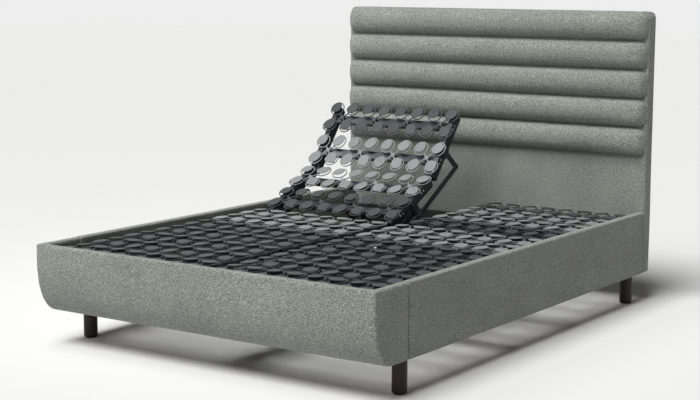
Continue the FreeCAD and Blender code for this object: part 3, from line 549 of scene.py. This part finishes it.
def box_skin(stations):
    """Grid over the six sides of a box, closed: its points and its faces, all facing outwards."""
    points, faces, start = [], [], 0
    for axis in range(3):
        a, b = (axis + 1) % 3, (axis + 2) % 3
        for end in (0, -1):
            u, v = np.meshgrid(stations[a], stations[b], indexing="ij")
            side = np.empty(u.shape + (3,))
            side[..., axis], side[..., a], side[..., b] = stations[axis][end], u, v
            index = start + np.arange(u.size).reshape(u.shape)
            quads = np.stack([index[:-1, :-1], index[1:, :-1], index[1:, 1:], index[:-1, 1:]], -1)
            quads = quads.reshape(-1, 4)
            points.append(side.reshape(-1, 3))
            faces.append(quads if end == -1 else quads[:, ::-1])
            start += u.size
    points, faces = np.concatenate(points), np.concatenate(faces)
    rounded = np.round(points, SAME_DIGITS)
    _, first, same = np.unique(rounded, axis=0, return_index=True, return_inverse=True)
    return points[first], same.reshape(-1)[faces]


def ring_faces(count, rows, closed_rows=False):
    """Faces between rows of points that each go once around."""
    i = np.arange(count)
    j = (i + 1) % count
    last = rows if closed_rows else rows - 1
    return [[int(v) for v in quad] for r in range(last) for quad in np.stack(
        [r * count + i, r * count + j, (r + 1) % rows * count + j, (r + 1) % rows * count + i], -1)]


def rounded_slab(low, high, radius, step):
    """The skin of a box with round edges: point = core + radius (point - core) / |point - core|.

    core is the nearest place in the box shrunk by the radius. The third result is the outward direction.
    """
    low, high = np.array(low, float), np.array(high, float)
    points, faces = box_skin([edge_stations(low[i], high[i], radius, step) for i in range(3)])
    core = np.clip(points, low + radius, high - radius)
    out = points - core
    out /= np.maximum(np.linalg.norm(out, axis=1, keepdims=True), TINY)
    return core + radius * out, faces, out


print("stations along 0.2 m:", len(edge_stations(0.0, 0.2, 0.01, 0.02)))

# %% [markdown]
# Stuffing is never quite even. A few sine waves that run in different directions, each shorter than the
# one before, give a slow swell. It repeats nowhere on the panel, and it's the same each time the script
# runs, because the directions come from a seeded draw.

# %% Uneven stuffing
WAVES, WAVE_SHRINK = 5, 0.75
SWELL = 0.0008


def unevenness(points, size, seed):
    """The mean of sin(k . point + phase), where |k| = 2 pi / (size 0.75^i) for wave i: -1 to 1."""
    random = np.random.default_rng(seed)
    total = np.zeros(len(points))
    for wave in range(WAVES):
        direction = random.normal(size=3)
        direction *= 2 * math.pi / (size * WAVE_SHRINK ** wave) / np.linalg.norm(direction)
        total += np.sin(points @ direction + random.uniform(0, 2 * math.pi)) / WAVES
    return total


def swollen(points, out, size, seed):
    """point + outward direction times the swell times the unevenness."""
    return points + out * (SWELL * unevenness(points, size, seed))[:, None]


print("swell", SWELL * 1000, "mm, from", WAVES, "waves")

# %% [markdown]
# The side rails are such slabs. Each one is as long as the engineering part, with a swell of under a
# millimetre, so the light on it wavers the way it does on real cloth over foam. A tight radius at the
# ends leaves a thin dark line where a rail meets the foot panel.

# %% Side rails
PANEL_RADIUS, PANEL_STEP, PANEL_WAVE = 0.008, 0.016, 0.42


def make_rail_padding(side, seed):
    """A rounded slab in the box of the engineering rail, less the swell it then gets."""
    rail = side + "_side_rail"
    low, high = (np.array(corner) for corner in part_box(rail))
    points, faces, out = rounded_slab(low + SWELL, high - SWELL, PANEL_RADIUS, PANEL_STEP)
    points = swollen(points, out, PANEL_WAVE, seed)
    piece = make_piece(side + "_rail_padding", points, faces, "rail_fabric", "bedstead", [rail], smooth=60)


for seed, side in enumerate(("left", "right")):
    make_rail_padding(side, seed)

# %% [markdown]
# The foot panel bends under the bed along a quarter of an ellipse and has a return at each side, so it is
# not a slab. Here the engineering solid is copied, closed up, covered with an even net of small squares
# by the Remesh modifier and relaxed: each point moves towards the middle of its neighbours a few times,
# which rounds every edge like foam does.

# %% Foot panel
WELD = 0.00002
FOOT_NET, FOOT_SEED = 0.006, 7
RELAX_ROUNDS, RELAX_SHARE = 7, 0.5


def merged_copy(node_name):
    """A copy of an engineering part with its loose triangles joined into one closed surface."""
    mesh = frame["nodes"][node_name].data.copy()
    work = bmesh.new()
    work.from_mesh(mesh)
    bmesh.ops.remove_doubles(work, verts=work.verts, dist=WELD)
    work.to_mesh(mesh)
    work.free()
    return mesh


def applied(piece):
    """The piece, with its modifiers worked into its mesh."""
    shown = piece.evaluated_get(bpy.context.evaluated_depsgraph_get())
    mesh = bpy.data.meshes.new_from_object(shown)
    piece.modifiers.clear()
    piece.data = mesh
    return piece


def points_of(mesh):
    """All points of a mesh as one array."""
    points = np.empty(len(mesh.vertices) * 3)
    mesh.vertices.foreach_get("co", points)
    return points.reshape(-1, 3)


def set_points(mesh, points):
    """Writes an array of points back into a mesh."""
    mesh.vertices.foreach_set("co", points.ravel())
    mesh.update()


def normals_of(mesh):
    """The outward direction at every point, as one array."""
    values = np.empty(len(mesh.vertices) * 3)
    mesh.vertex_normals.foreach_get("vector", values)
    return values.reshape(-1, 3)


def relax(mesh, rounds, share):
    """Each round: point + share (mean of its neighbours - point)."""
    points = points_of(mesh)
    pairs = np.empty(len(mesh.edges) * 2, int)
    mesh.edges.foreach_get("vertices", pairs)
    a, b = pairs.reshape(-1, 2).T
    count = np.bincount(np.concatenate([a, b]), minlength=len(points))[:, None]
    for _ in range(rounds):
        sums = [np.bincount(a, points[b, i], len(points)) + np.bincount(b, points[a, i], len(points))
                for i in range(3)]
        points += share * (np.stack(sums, -1) / count - points)
    set_points(mesh, points)


def make_foot_panel():
    """The engineering panel under an even net, relaxed, swollen, and half a swell smaller again."""
    piece = linked("foot_panel_padding", merged_copy("foot_panel"))
    net = piece.modifiers.new("net", "REMESH")
    net.mode, net.voxel_size = "VOXEL", FOOT_NET
    applied(piece)
    relax(piece.data, RELAX_ROUNDS, RELAX_SHARE)
    points = points_of(piece.data)
    rise = SWELL * unevenness(points, PANEL_WAVE, FOOT_SEED) - SWELL / 2
    set_points(piece.data, points + normals_of(piece.data) * rise[:, None])
    dress(piece, "rail_fabric", "bedstead", ["foot_panel"], smooth=70)


make_foot_panel()

# %% [markdown]
# The headboard is a tall upholstered slab. Its lower part stays flat behind the mattress, and five padded
# rolls lie across its upper part. The slab stands for the engineering board and lower pad. Its two upper
# corners are round when seen from the front, which the same trick makes in the plane of the slab.

# %% Headboard slab
HEAD_EDGE, HEAD_CORNER = 0.010, 0.030
HEAD_WAVE, HEAD_SEED = 0.5, 11
FAR_BELOW = 1.0


def make_headboard():
    """A rounded slab with round upper corners: away = away max(|x|, |z|) / |away|, in its own plane.

    away runs from the nearest place in the outline shrunk by the corner's radius. That outline reaches
    far below the slab, so that the lower corners stay square.
    """
    low = np.array(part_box("headboard_lower_pad")[0])
    high = np.array(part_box("headboard_board")[1])
    points, faces, out = rounded_slab(low + SWELL, high - SWELL, HEAD_EDGE, PANEL_STEP)
    core = np.clip(points[:, [0, 2]], [low[0] + HEAD_CORNER, low[2] - FAR_BELOW], high[[0, 2]] - HEAD_CORNER)
    away = points[:, [0, 2]] - core
    reach = np.linalg.norm(away, axis=1)
    square = np.maximum(np.abs(away).max(axis=1), TINY)
    points[:, [0, 2]] = core + away * (square / np.maximum(reach, TINY))[:, None]
    points = swollen(points, out, HEAD_WAVE, HEAD_SEED)
    replaced = ["headboard_lower_pad", "headboard_board"]
    piece = make_piece("headboard_slab", points, faces, "headboard_fabric", "bedstead", replaced, smooth=60)


make_headboard()

# %% [markdown]
# A roll is a sleeve of cloth around a thick strip of foam, sewn down along both creases. Its section is
# half a superellipse: rounder than a box, fuller than a circle. Towards each end the section gets
# shallower and a little lower, like the end of a bolster.

# %% Shape of a roll
ROLL_FULLNESS, ROLL_END, ROLL_END_HEIGHT, ROLL_END_TURN = 2.45, 0.042, 0.50, 82.0
ROLL_STEP, ROLL_FRONT_ROWS, ROLL_BACK_ROWS, ROLL_END_STEPS = 0.008, 27, 9, 7


def roll_surface(low, high):
    """A closed sleeve: section points (depth, height) times stations along the bed's width.

    depth = D s |cos t|^(2/n) and height = H h |sin t|^(2/n) for t from -90 to 90 degrees, closed by a flat
    back. s falls from 1 to almost 0 over a quarter circle at both ends, and h falls with it to a share.
    """
    bend = np.linspace(0, math.radians(ROLL_END_TURN), ROLL_END_STEPS)
    end_x, end_s = ROLL_END * np.sin(bend), np.cos(bend)
    count = int((high[0] - low[0] - 2 * ROLL_END) / ROLL_STEP)
    middle = np.linspace(low[0] + ROLL_END, high[0] - ROLL_END, count)
    x = np.concatenate([low[0] + ROLL_END - end_x[:0:-1], middle, high[0] - ROLL_END + end_x[1:]])
    s = np.concatenate([end_s[:0:-1], np.ones(count), end_s[1:]])[:, None]
    t = np.linspace(-math.pi / 2, math.pi / 2, ROLL_FRONT_ROWS)
    power = 2 / ROLL_FULLNESS
    depth = np.concatenate([np.abs(np.cos(t)) ** power, np.zeros(ROLL_BACK_ROWS)])
    back = np.linspace(1, -1, ROLL_BACK_ROWS + 2)[1:-1]
    height = np.concatenate([np.sign(np.sin(t)) * np.abs(np.sin(t)) ** power, back])
    y = high[1] - (high[1] - low[1]) * s * depth
    share = ROLL_END_HEIGHT + (1 - ROLL_END_HEIGHT) * s
    z = (low[2] + high[2]) / 2 + (high[2] - low[2]) / 2 * share * height
    points = np.stack([np.broadcast_to(x[:, None], y.shape), y, z], -1)
    rows, around = y.shape
    faces = [face[::-1] for face in ring_faces(around, rows)]
    first, last = list(range(around)), list(range((rows - 1) * around, rows * around))
    return points.reshape(-1, 3), faces + [first, last[::-1]]


print("a roll has", ROLL_FRONT_ROWS + ROLL_BACK_ROWS, "points around")

# %% [markdown]
# Such a sleeve alone looks turned on a lathe, so each roll starts slightly too small and a short cloth
# simulation blows it up: the back is held, the pressure pushes the front out, and a cap stops any point
# from moving too far.

# %% Headboard rolls
ROLLS, ROLL_SINK, ROLL_SLACK = 5, 0.012, 0.001
ROLL_START, ROLL_CAP = 0.004, 0.008
ROLL_WAVE, ROLL_SEED, ROLL_FILL = 0.30, 20, 0.8
SIM_FRAMES, SIM_PRESSURE, SIM_QUALITY = 20, 4.0, 5


def inflate(piece, held):
    """Cloth pressure for a few frames: point = rest + move min(1, cap / |move|); held points stay."""
    rest = points_of(piece.data)
    group = piece.vertex_groups.new(name="sewn")
    group.add(np.nonzero(held)[0].tolist(), 1.0, "REPLACE")
    cloth_modifier = piece.modifiers.new("cloth", "CLOTH")
    settings = cloth_modifier.settings
    settings.use_pressure = True
    settings.uniform_pressure_force = SIM_PRESSURE
    settings.effector_weights.gravity = 0.0
    settings.vertex_group_mass = group.name
    settings.quality = SIM_QUALITY
    cloth_modifier.point_cache.frame_start, cloth_modifier.point_cache.frame_end = 1, SIM_FRAMES
    for frame_number in range(1, SIM_FRAMES + 1):
        bpy.context.scene.frame_set(frame_number)
    moved = points_of(applied(piece).data) - rest
    length = np.maximum(np.linalg.norm(moved, axis=1, keepdims=True), TINY)
    set_points(piece.data, rest + moved * np.minimum(1.0, ROLL_CAP / length))
    piece.vertex_groups.clear()
    bpy.context.scene.frame_set(1)
    print(piece.name, "moved up to", round(float(length.max()) * 1000, 1), "mm, capped at", ROLL_CAP * 1000)


def make_roll(number, low, high):
    """A sleeve, blown up, swollen, and kept inside its own strip of the headboard."""
    start = ROLL_START
    points, faces = roll_surface(low + start, high - (start, 0.0, start))
    name = "headboard_roll_%d" % number
    piece = make_piece(name, points, faces, "headboard_fabric", "bedstead", ["headboard_rolls"], smooth=80)
    inflate(piece, points[:, 1] > high[1] - ROLL_SINK)
    coat(piece, "headboard_fabric")
    points = swollen(points_of(piece.data), normals_of(piece.data), ROLL_WAVE, ROLL_SEED + number)
    slack = np.array([0.0, 0.0, ROLL_SLACK])
    set_points(piece.data, np.clip(points, low - slack, high + slack))


def make_rolls():
    """Rolls of equal height, one above the other, sunk a little into the slab."""
    low, high = (np.array(corner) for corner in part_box("headboard_rolls"))
    front_of_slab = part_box("headboard_lower_pad")[0][1]
    high[1] = front_of_slab + ROLL_SINK
    pitch = (high[2] - low[2]) / ROLLS
    for i in range(ROLLS):
        bottom = low[2] + i * pitch
        make_roll(i + 1, np.array([low[0], low[1], bottom]), np.array([high[0], high[1], bottom + pitch]))


make_rolls()

# %% [markdown]
# The back of the headboard is closed with thin black cloth, pulled tight and stapled along its edge. It
# sags inwards between the staples by a fraction of a millimetre.

# %% Rear cover
COVER_INSET = np.array([0.010, 0.0, 0.010])
COVER_ROUNDING, COVER_MARGIN, COVER_SAG = 2.5, 0.05, 0.0006
COVER_WAVE, COVER_SEED = 0.25, 31
STAPLE_PITCH, STAPLE_INSET, STAPLE_LIFT = 0.055, 0.012, 0.006
STAPLE_FIRST, STAPLE_LAST = STAPLE_INSET * 3, STAPLE_INSET * 2
STAPLE_SIZE = (0.0100, 0.0007, 0.0012)


def make_rear_cover():
    """A thin rounded slab; inside its margin the outer face sinks by sag (1 + unevenness)."""
    low, high = (np.array(corner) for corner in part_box("headboard_rear_cover"))
    radius = (high[1] - low[1]) / COVER_ROUNDING
    points, faces, out = rounded_slab(low + COVER_INSET, high - COVER_INSET, radius, PANEL_STEP)
    edge = np.minimum(np.minimum(points[:, 0] - low[0], high[0] - points[:, 0]),
                      np.minimum(points[:, 2] - low[2], high[2] - points[:, 2]))
    inside = np.clip(edge / COVER_MARGIN, 0, 1)
    waves = 1 + unevenness(points, COVER_WAVE, COVER_SEED)
    points[:, 1] -= (out[:, 1] > 0.5) * inside * COVER_SAG * waves
    make_piece("headboard_backing_cloth", points, faces, "rear_fabric", "bedstead", ["headboard_rear_cover"])
    return low, high


def copies_of(points, faces, places):
    """The same small shape at every place: one array of points and one of faces."""
    all_points = (points[None, :, :] + places[:, None, :]).reshape(-1, 3)
    offsets = np.arange(len(places)) * len(points)
    return all_points, [[v + start for v in face] for start in offsets for face in faces]


def make_staples(low, high):
    """Small boxes in two rows, along the upper and the lower edge."""
    half = np.array(STAPLE_SIZE) / 2
    points, faces = box_skin([np.array([-half[i], half[i]]) for i in range(3)])
    x = np.arange(low[0] + STAPLE_FIRST, high[0] - STAPLE_LAST, STAPLE_PITCH)
    rows = [np.stack([x, np.full_like(x, high[1] - half[1]), np.full_like(x, z)], -1)
            for z in (low[2] + STAPLE_INSET + STAPLE_LIFT, high[2] - STAPLE_INSET - STAPLE_LIFT)]
    all_points, all_faces = copies_of(points, faces, np.concatenate(rows))
    make_piece("backing_staples", all_points, all_faces, "zinc_steel", "bedstead")


make_staples(*make_rear_cover())

# %% [markdown]
# The lying surface is made of small plastic discs. Four of them share a module that clips on a crossbar:
# a hub, four short arms, and four springy loops, each with a disc on its outer side. The discs lean
# outwards a little, and each one is turned and drawn out differently, so a module looks like a pinwheel.
# There are 352 discs on the bed, so a disc and a loop have only a few dozen faces each. The disc comes
# first: its outline is a squarish circle, drawn out along one direction.

# %% Disc of a spring module
DISC_RADIUS, DISC_SQUARENESS, DISC_SIDES = 0.0278, 2.4, 18
DISC_THICK, DISC_DOME = 0.0046, 0.0004
# The edge from below to above: share of the outline, height as a share of the thickness.
DISC_EDGE = ((0.94, -1.0), (1.0, -0.6), (1.0, -0.3), (0.93, 0.0))


def superellipse(count, radius, power):
    """Points on a squarish circle: |x/r|^power + |y/r|^power = 1, evenly turned."""
    turn = np.arange(count) * 2 * math.pi / count
    reach = radius / (np.abs(np.cos(turn)) ** power + np.abs(np.sin(turn)) ** power) ** (1 / power)
    return np.stack([reach * np.cos(turn), reach * np.sin(turn)], -1)


def toward(degrees):
    """The level direction (cos, sin) of an angle."""
    return np.array([math.cos(math.radians(degrees)), math.sin(math.radians(degrees))])


def stacked(outline, rows):
    """The outline at each row's share of its size and at each row's height."""
    return np.concatenate([np.column_stack([outline * share, np.full(len(outline), z)]) for share, z in rows])


def disc_shape(stretch, turn):
    """A thin domed plate: the outline times the stretch along one way, over its root across, in rows."""
    along = toward(turn)
    across = np.array([-along[1], along[0]])
    outline = superellipse(DISC_SIDES, DISC_RADIUS, DISC_SQUARENESS)
    outline = outline[:, :1] * stretch * along + outline[:, 1:] / math.sqrt(stretch) * across
    rows = [(share, height * DISC_THICK) for share, height in DISC_EDGE]
    points = np.vstack([stacked(outline, rows), [[0, 0, DISC_DOME]]])
    faces = ring_faces(DISC_SIDES, len(rows))
    top, centre = (len(rows) - 1) * DISC_SIDES, len(points) - 1
    faces += [[top + i, top + (i + 1) % DISC_SIDES, centre] for i in range(DISC_SIDES)]
    faces.append(list(range(DISC_SIDES))[::-1])
    return points, faces


print("disc", len(disc_shape(1.0, 0.0)[1]), "faces")

# %% [markdown]
# A loop is a flat band around its disc, low beside the hub and high where it carries the disc, so it can
# give like a leaf spring. Short arms and webs join it to the hub and to the disc. They bend in height like
# an S, level at both ends, so that they leave one part and meet the other without a kink.

# %% Loop, arm and hub
LOOP_RADIUS, LOOP_SHIFT, LOOP_SIDES = 0.0338, 0.0042, 18
LOOP_WIDTH, LOOP_THICK = 0.0044, 0.0034
LOOP_LOW, LOOP_HIGH = 0.3825, 0.3888
STRIP_ROWS = 4
HUB_RADIUS, HUB_SIDES, BAR_TOP, ARM_LEVEL = 0.0125, 12, 0.366, 0.3830
# The hub from its foot to its button: share of the radius, height.
HUB_ROWS = ((1.0, BAR_TOP), (1.0, ARM_LEVEL - 0.003), (0.86, ARM_LEVEL + 0.001), (0.45, ARM_LEVEL + 0.002))


def loop_shape(outward, shift):
    """A band around the disc. height = low + (high - low) (1 + cos of the turn from outward) / 2."""
    turn = np.arange(LOOP_SIDES) * 2 * math.pi / LOOP_SIDES
    along = np.stack([np.cos(turn), np.sin(turn)], -1)
    level = LOOP_LOW + (LOOP_HIGH - LOOP_LOW) * (1 + along @ outward) / 2
    w, t = LOOP_WIDTH / 2, LOOP_THICK / 2
    rows = [np.column_stack([along * (LOOP_RADIUS + side) + shift, level + z])
            for side, z in ((w, -t), (w, t), (-w, t), (-w, -t))]
    return np.concatenate(rows), ring_faces(LOOP_SIDES, len(rows), closed_rows=True)


def strip_shape(start, end, width, thick, z_start, z_end):
    """A plank with closed ends. height = start + (end - start) (3 s^2 - 2 s^3), s going from 0 to 1."""
    start, end = np.array(start), np.array(end)
    side = np.array([-(end - start)[1], (end - start)[0]]) / np.linalg.norm(end - start) * width / 2
    share = np.linspace(0, 1, STRIP_ROWS)
    line = start + share[:, None] * (end - start)
    z = z_start + (z_end - z_start) * (3 * share ** 2 - 2 * share ** 3)
    corners = ((1, 0), (-1, 0), (-1, -thick), (1, -thick))
    points = np.stack([np.column_stack([line + s * side, z + t]) for s, t in corners], 1).reshape(-1, 3)
    around = len(corners)
    last = list(range(len(points) - around, len(points)))
    return points, ring_faces(around, STRIP_ROWS) + [list(range(around))[::-1], last]


def capped(points, sides, rows):
    """Rows of points with faces around them and a flat face at both ends."""
    top = (rows - 1) * sides
    ends = [list(range(top, top + sides)), list(range(sides))[::-1]]
    return points, ring_faces(sides, rows) + ends


def hub_shape():
    """A turned foot with a shallow button on top: a circle at the size and height of each row."""
    circle = superellipse(HUB_SIDES, HUB_RADIUS, 2.0)
    return capped(stacked(circle, HUB_ROWS), HUB_SIDES, len(HUB_ROWS))


print("loop", len(loop_shape(toward(45), 0.0)[1]), "faces, hub", len(hub_shape()[1]), "faces")

# %% [markdown]
# Now a module is put together. Each disc leans outwards about the level line through its middle, sits on
# the outer side of its loop, and gets a web and an arm. The four discs differ only in the five numbers of
# their kind.

# %% Whole module
DISC_SPREAD = np.array([0.046, 0.047])
DISC_LEAN, DISC_SHIFT, DISC_HEIGHT = 5.0, 0.0010, 0.3955
WEB_WIDTH, ARM_WIDTH = 0.009, 0.006
# Side across, side along, stretch, turn of the long axis, side that the loop leans to.
DISC_KINDS = (
    (-1, 1, 1.00, 0.0, -40.0),
    (1, 1, 1.09, 58.0, 10.0),
    (-1, -1, 1.09, 42.0, 235.0),
    (1, -1, 1.03, 95.0, -70.0),
)


def lean(points, outward, angle):
    """Turns points about the level axis across the outward direction, so their outer side drops."""
    axis = np.array([-outward[1], outward[0], 0.0])
    return points @ np.array(Matrix.Rotation(math.radians(angle), 3, axis.tolist())).T


def joined(shapes):
    """Several shapes as one: their points in a row, and their faces counted on."""
    points, faces, start = [], [], 0
    for some_points, some_faces in shapes:
        points.append(some_points)
        faces += [[v + start for v in face] for face in some_faces]
        start += len(some_points)
    return np.concatenate(points), faces


def disc_unit(across, along, stretch, turn, loop_turn):
    """One disc with its loop, the web between them and the arm that comes from the hub."""
    centre = DISC_SPREAD * (across, along)
    outward = centre / np.linalg.norm(centre)
    shift = toward(loop_turn) * LOOP_SHIFT
    points, faces = disc_shape(stretch, turn)
    plate = (lean(points, outward, DISC_LEAN) + np.append(centre + outward * DISC_SHIFT, DISC_HEIGHT), faces)
    points, faces = loop_shape(outward, shift)
    loop = (points + np.append(centre, 0.0), faces)
    outer_end = centre + shift + outward * LOOP_RADIUS
    inner_end = centre + shift - outward * LOOP_RADIUS
    web = strip_shape(centre + outward * DISC_RADIUS / 2, outer_end, WEB_WIDTH, LOOP_THICK,
                      DISC_HEIGHT - DISC_THICK, LOOP_HIGH + LOOP_THICK / 3)
    arm = strip_shape(outward * HUB_RADIUS / 2, inner_end, ARM_WIDTH, LOOP_THICK, ARM_LEVEL,
                      LOOP_LOW + LOOP_THICK / 3)
    return [plate, loop, web, arm]


MODULE = joined([hub_shape()] + [shape for kind in DISC_KINDS for shape in disc_unit(*kind)])
print("module", len(MODULE[0]), "points", len(MODULE[1]), "faces")

# %% [markdown]
# The modules stand four in a row on every crossbar. The bars' places come from the flat right half. The
# left half is built raised, so its modules are placed flat first and then turned with their section: the
# head section about the neck hinge, and then together with the back about the back hinge. How far it is
# raised is the distance from the joint's flat end stop.

# %% Place the modules
MODULES_ACROSS = 4
BARS_OF = {"calf": 3, "thigh": 2, "seat": 2, "back": 2, "head": 2}
LIGHT_BARS = {"seat": (0, 1), "back": (1,), "head": (0,)}
CAD_DISC_RADIUS = 0.032
CAD_REACH = DISC_SPREAD + CAD_DISC_RADIUS
joints = {joint["name"]: joint for joint in frame["joints"]}


def turned(points, pivot, degrees):
    """A turn about the x direction through the pivot: y' = y cos - z sin, z' = y sin + z cos."""
    c, s = math.cos(math.radians(degrees)), math.sin(math.radians(degrees))
    y, z = points[:, 1] - pivot[0], points[:, 2] - pivot[1]
    return np.column_stack([points[:, 0], pivot[0] + c * y - s * z, pivot[1] + s * y + c * z])


def hinge(name):
    """A joint's axis as (y, z), and how far the stored pose is turned from its flat end stop."""
    joint = joints[name]
    return tuple(joint["pos_m"][1:]), -joint["range_deg"][0]


BACK_AXIS = hinge("right_back_lift")[0]
NECK_AXIS = hinge("right_head_tilt")[0]


def raise_section(points, side, section):
    """Takes points of a flat section to where the stored pose has it."""
    if section == "head":
        points = turned(points, NECK_AXIS, hinge(side + "_head_tilt")[1])
    if section in ("head", "back"):
        points = turned(points, BACK_AXIS, hinge(side + "_back_lift")[1])
    return points


def section_bars(section):
    """Middles of the crossbars of a section, as places along the bed."""
    low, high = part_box("right_%s_discs" % section)
    return np.linspace(low[1] + CAD_REACH[1], high[1] - CAD_REACH[1], BARS_OF[section])


def row_places(side):
    """Middles of the modules of a row, as places across the bed."""
    low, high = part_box("%s_calf_discs" % side)
    return np.linspace(low[0] + CAD_REACH[0], high[0] - CAD_REACH[0], MODULES_ACROSS)


def section_body(side, section):
    """The body that a section moves with. The seat is fixed, so it belongs to the bedstead."""
    return "bedstead" if section == "seat" else side + "_" + section


def make_discs(side, section):
    """The section's modules in two pieces, one for the bars with dark discs and one for the light ones."""
    bars, across = section_bars(section), row_places(side)
    light = LIGHT_BARS.get(section, ())
    dark = [i for i in range(len(bars)) if i not in light]
    for shade, chosen in (("dark", dark), ("light", light)):
        if not len(chosen):
            continue
        x, y = np.meshgrid(across, bars[list(chosen)])
        places = np.column_stack([x.ravel(), y.ravel(), np.zeros(x.size)])
        points, faces = copies_of(*MODULE, places)
        name = "%s_%s_%s_modules" % (side, section, shade)
        make_piece(name, raise_section(points, side, section), faces, "disc_" + shade,
                   section_body(side, section), ["%s_%s_discs" % (side, section)], smooth=22)


for side in ("left", "right"):
    for section in BARS_OF:
        make_discs(side, section)

# %% [markdown]
# Steel tubes are never razor sharp: their corners catch a thin line of light. So each frame is copied,
# its triangles are merged into flat faces, and a Bevel modifier rounds its edges by about a millimetre.
# The moulded casing of the drive gets three.

# %% Frames with rounded edges
FRAME_BEVEL, BASE_BEVEL, LINK_BEVEL, CASING_BEVEL = 0.0012, 0.0015, 0.0008, 0.003
FLAT_ANGLE, BEVEL_ANGLE = 1.0, 40.0


def bevelled(node_name, body, width, segments=2):
    """A copy whose faces within a degree are one, and whose edges over forty degrees are rounded."""
    mesh = merged_copy(node_name)
    work = bmesh.new()
    work.from_mesh(mesh)
    bmesh.ops.dissolve_limit(work, angle_limit=math.radians(FLAT_ANGLE), verts=work.verts, edges=work.edges)
    work.to_mesh(mesh)
    work.free()
    piece = linked(node_name + "_steel", mesh)
    bevel = piece.modifiers.new("bevel", "BEVEL")
    bevel.width, bevel.segments, bevel.limit_method = width, segments, "ANGLE"
    bevel.angle_limit = math.radians(BEVEL_ANGLE)
    dress(applied(piece), SLOT_OF[node_name], body, [node_name], smooth=50)


for side in ("left", "right"):
    for section in BARS_OF:
        bevelled("%s_%s_frame" % (side, section), section_body(side, section), FRAME_BEVEL)
    bevelled(side + "_base_frame", "bedstead", BASE_BEVEL)
    bevelled(side + "_neck_link", side + "_neck_link", LINK_BEVEL)
    bevelled(side + "_drive_housing", "bedstead", CASING_BEVEL, 3)

# %% [markdown]
# Small hardware makes a frame believable: plastic plugs close the open ends of the side rails, and two
# bright button-head screws sit on the rail at each crossbar, on the side that faces the other half.

# %% End plugs and screws
PLUG_LIP, PLUG_EDGE, PLUG_STEP = 0.0022, 0.0009, 0.02
SCREW_RADIUS, SCREW_HEIGHT, SCREW_SIDES = 0.0045, 0.0016, 12
SCREW_LEVEL, SCREW_ASIDE = 0.356, 0.010
# The screw's head from rail to top: share of the radius, share of the height.
SCREW_ROWS = ((1.0, 0.0), (0.96, 0.45), (0.70, 0.85), (0.35, 1.0))
RAIL_OFFSETS, RAIL_HEIGHTS = (0.312, 0.338), (0.330, 0.378)


def unit_centre(side):
    """The middle of one half of the bed, as a place across it."""
    return float(np.mean(row_places(side)))


def make_plugs(side, section, heading):
    """Plugs on the rail ends, at the foot (heading -1) or at the head (heading 1) of a section."""
    low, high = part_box("right_%s_frame" % section)
    y = (low, high)[heading > 0][1]
    near, far = sorted((y, y + heading * PLUG_LIP))
    shapes = []
    for sign in (-1, 1):
        x = sorted(unit_centre(side) + sign * offset for offset in RAIL_OFFSETS)
        low_corner, high_corner = zip((x[0], x[1]), (near, far), RAIL_HEIGHTS)
        points, faces, _ = rounded_slab(low_corner, high_corner, PLUG_EDGE, PLUG_STEP)
        shapes.append((points, faces.tolist()))
    points, faces = joined(shapes)
    make_piece("%s_%s_end_plugs" % (side, section), raise_section(points, side, section), faces,
               "glide_plastic", section_body(side, section))


def screw_shape():
    """A button head around the x axis: a circle at the size and height of each row."""
    circle = superellipse(SCREW_SIDES, SCREW_RADIUS, 2.0)
    points = stacked(circle, [(share, height * SCREW_HEIGHT) for share, height in SCREW_ROWS])
    return capped(points[:, [2, 0, 1]], SCREW_SIDES, len(SCREW_ROWS))


def make_screws(side, section):
    """Two screws at each crossbar, on the rail that faces the other half of the bed."""
    inward = 1 if side == "left" else -1
    points, faces = screw_shape()
    if inward < 0:
        points, faces = points * (-1, 1, 1), [face[::-1] for face in faces]
    x = unit_centre(side) + inward * RAIL_OFFSETS[1]
    places = np.array([(x, y + aside, SCREW_LEVEL) for y in section_bars(section)
                       for aside in (-SCREW_ASIDE, SCREW_ASIDE)])
    all_points, all_faces = copies_of(points, faces, places)
    make_piece("%s_%s_screws" % (side, section), raise_section(all_points, side, section), all_faces,
               "zinc_steel", section_body(side, section))


for side in ("left", "right"):
    make_plugs(side, "calf", -1)
    make_plugs(side, "head", 1)
    for section in BARS_OF:
        make_screws(side, section)
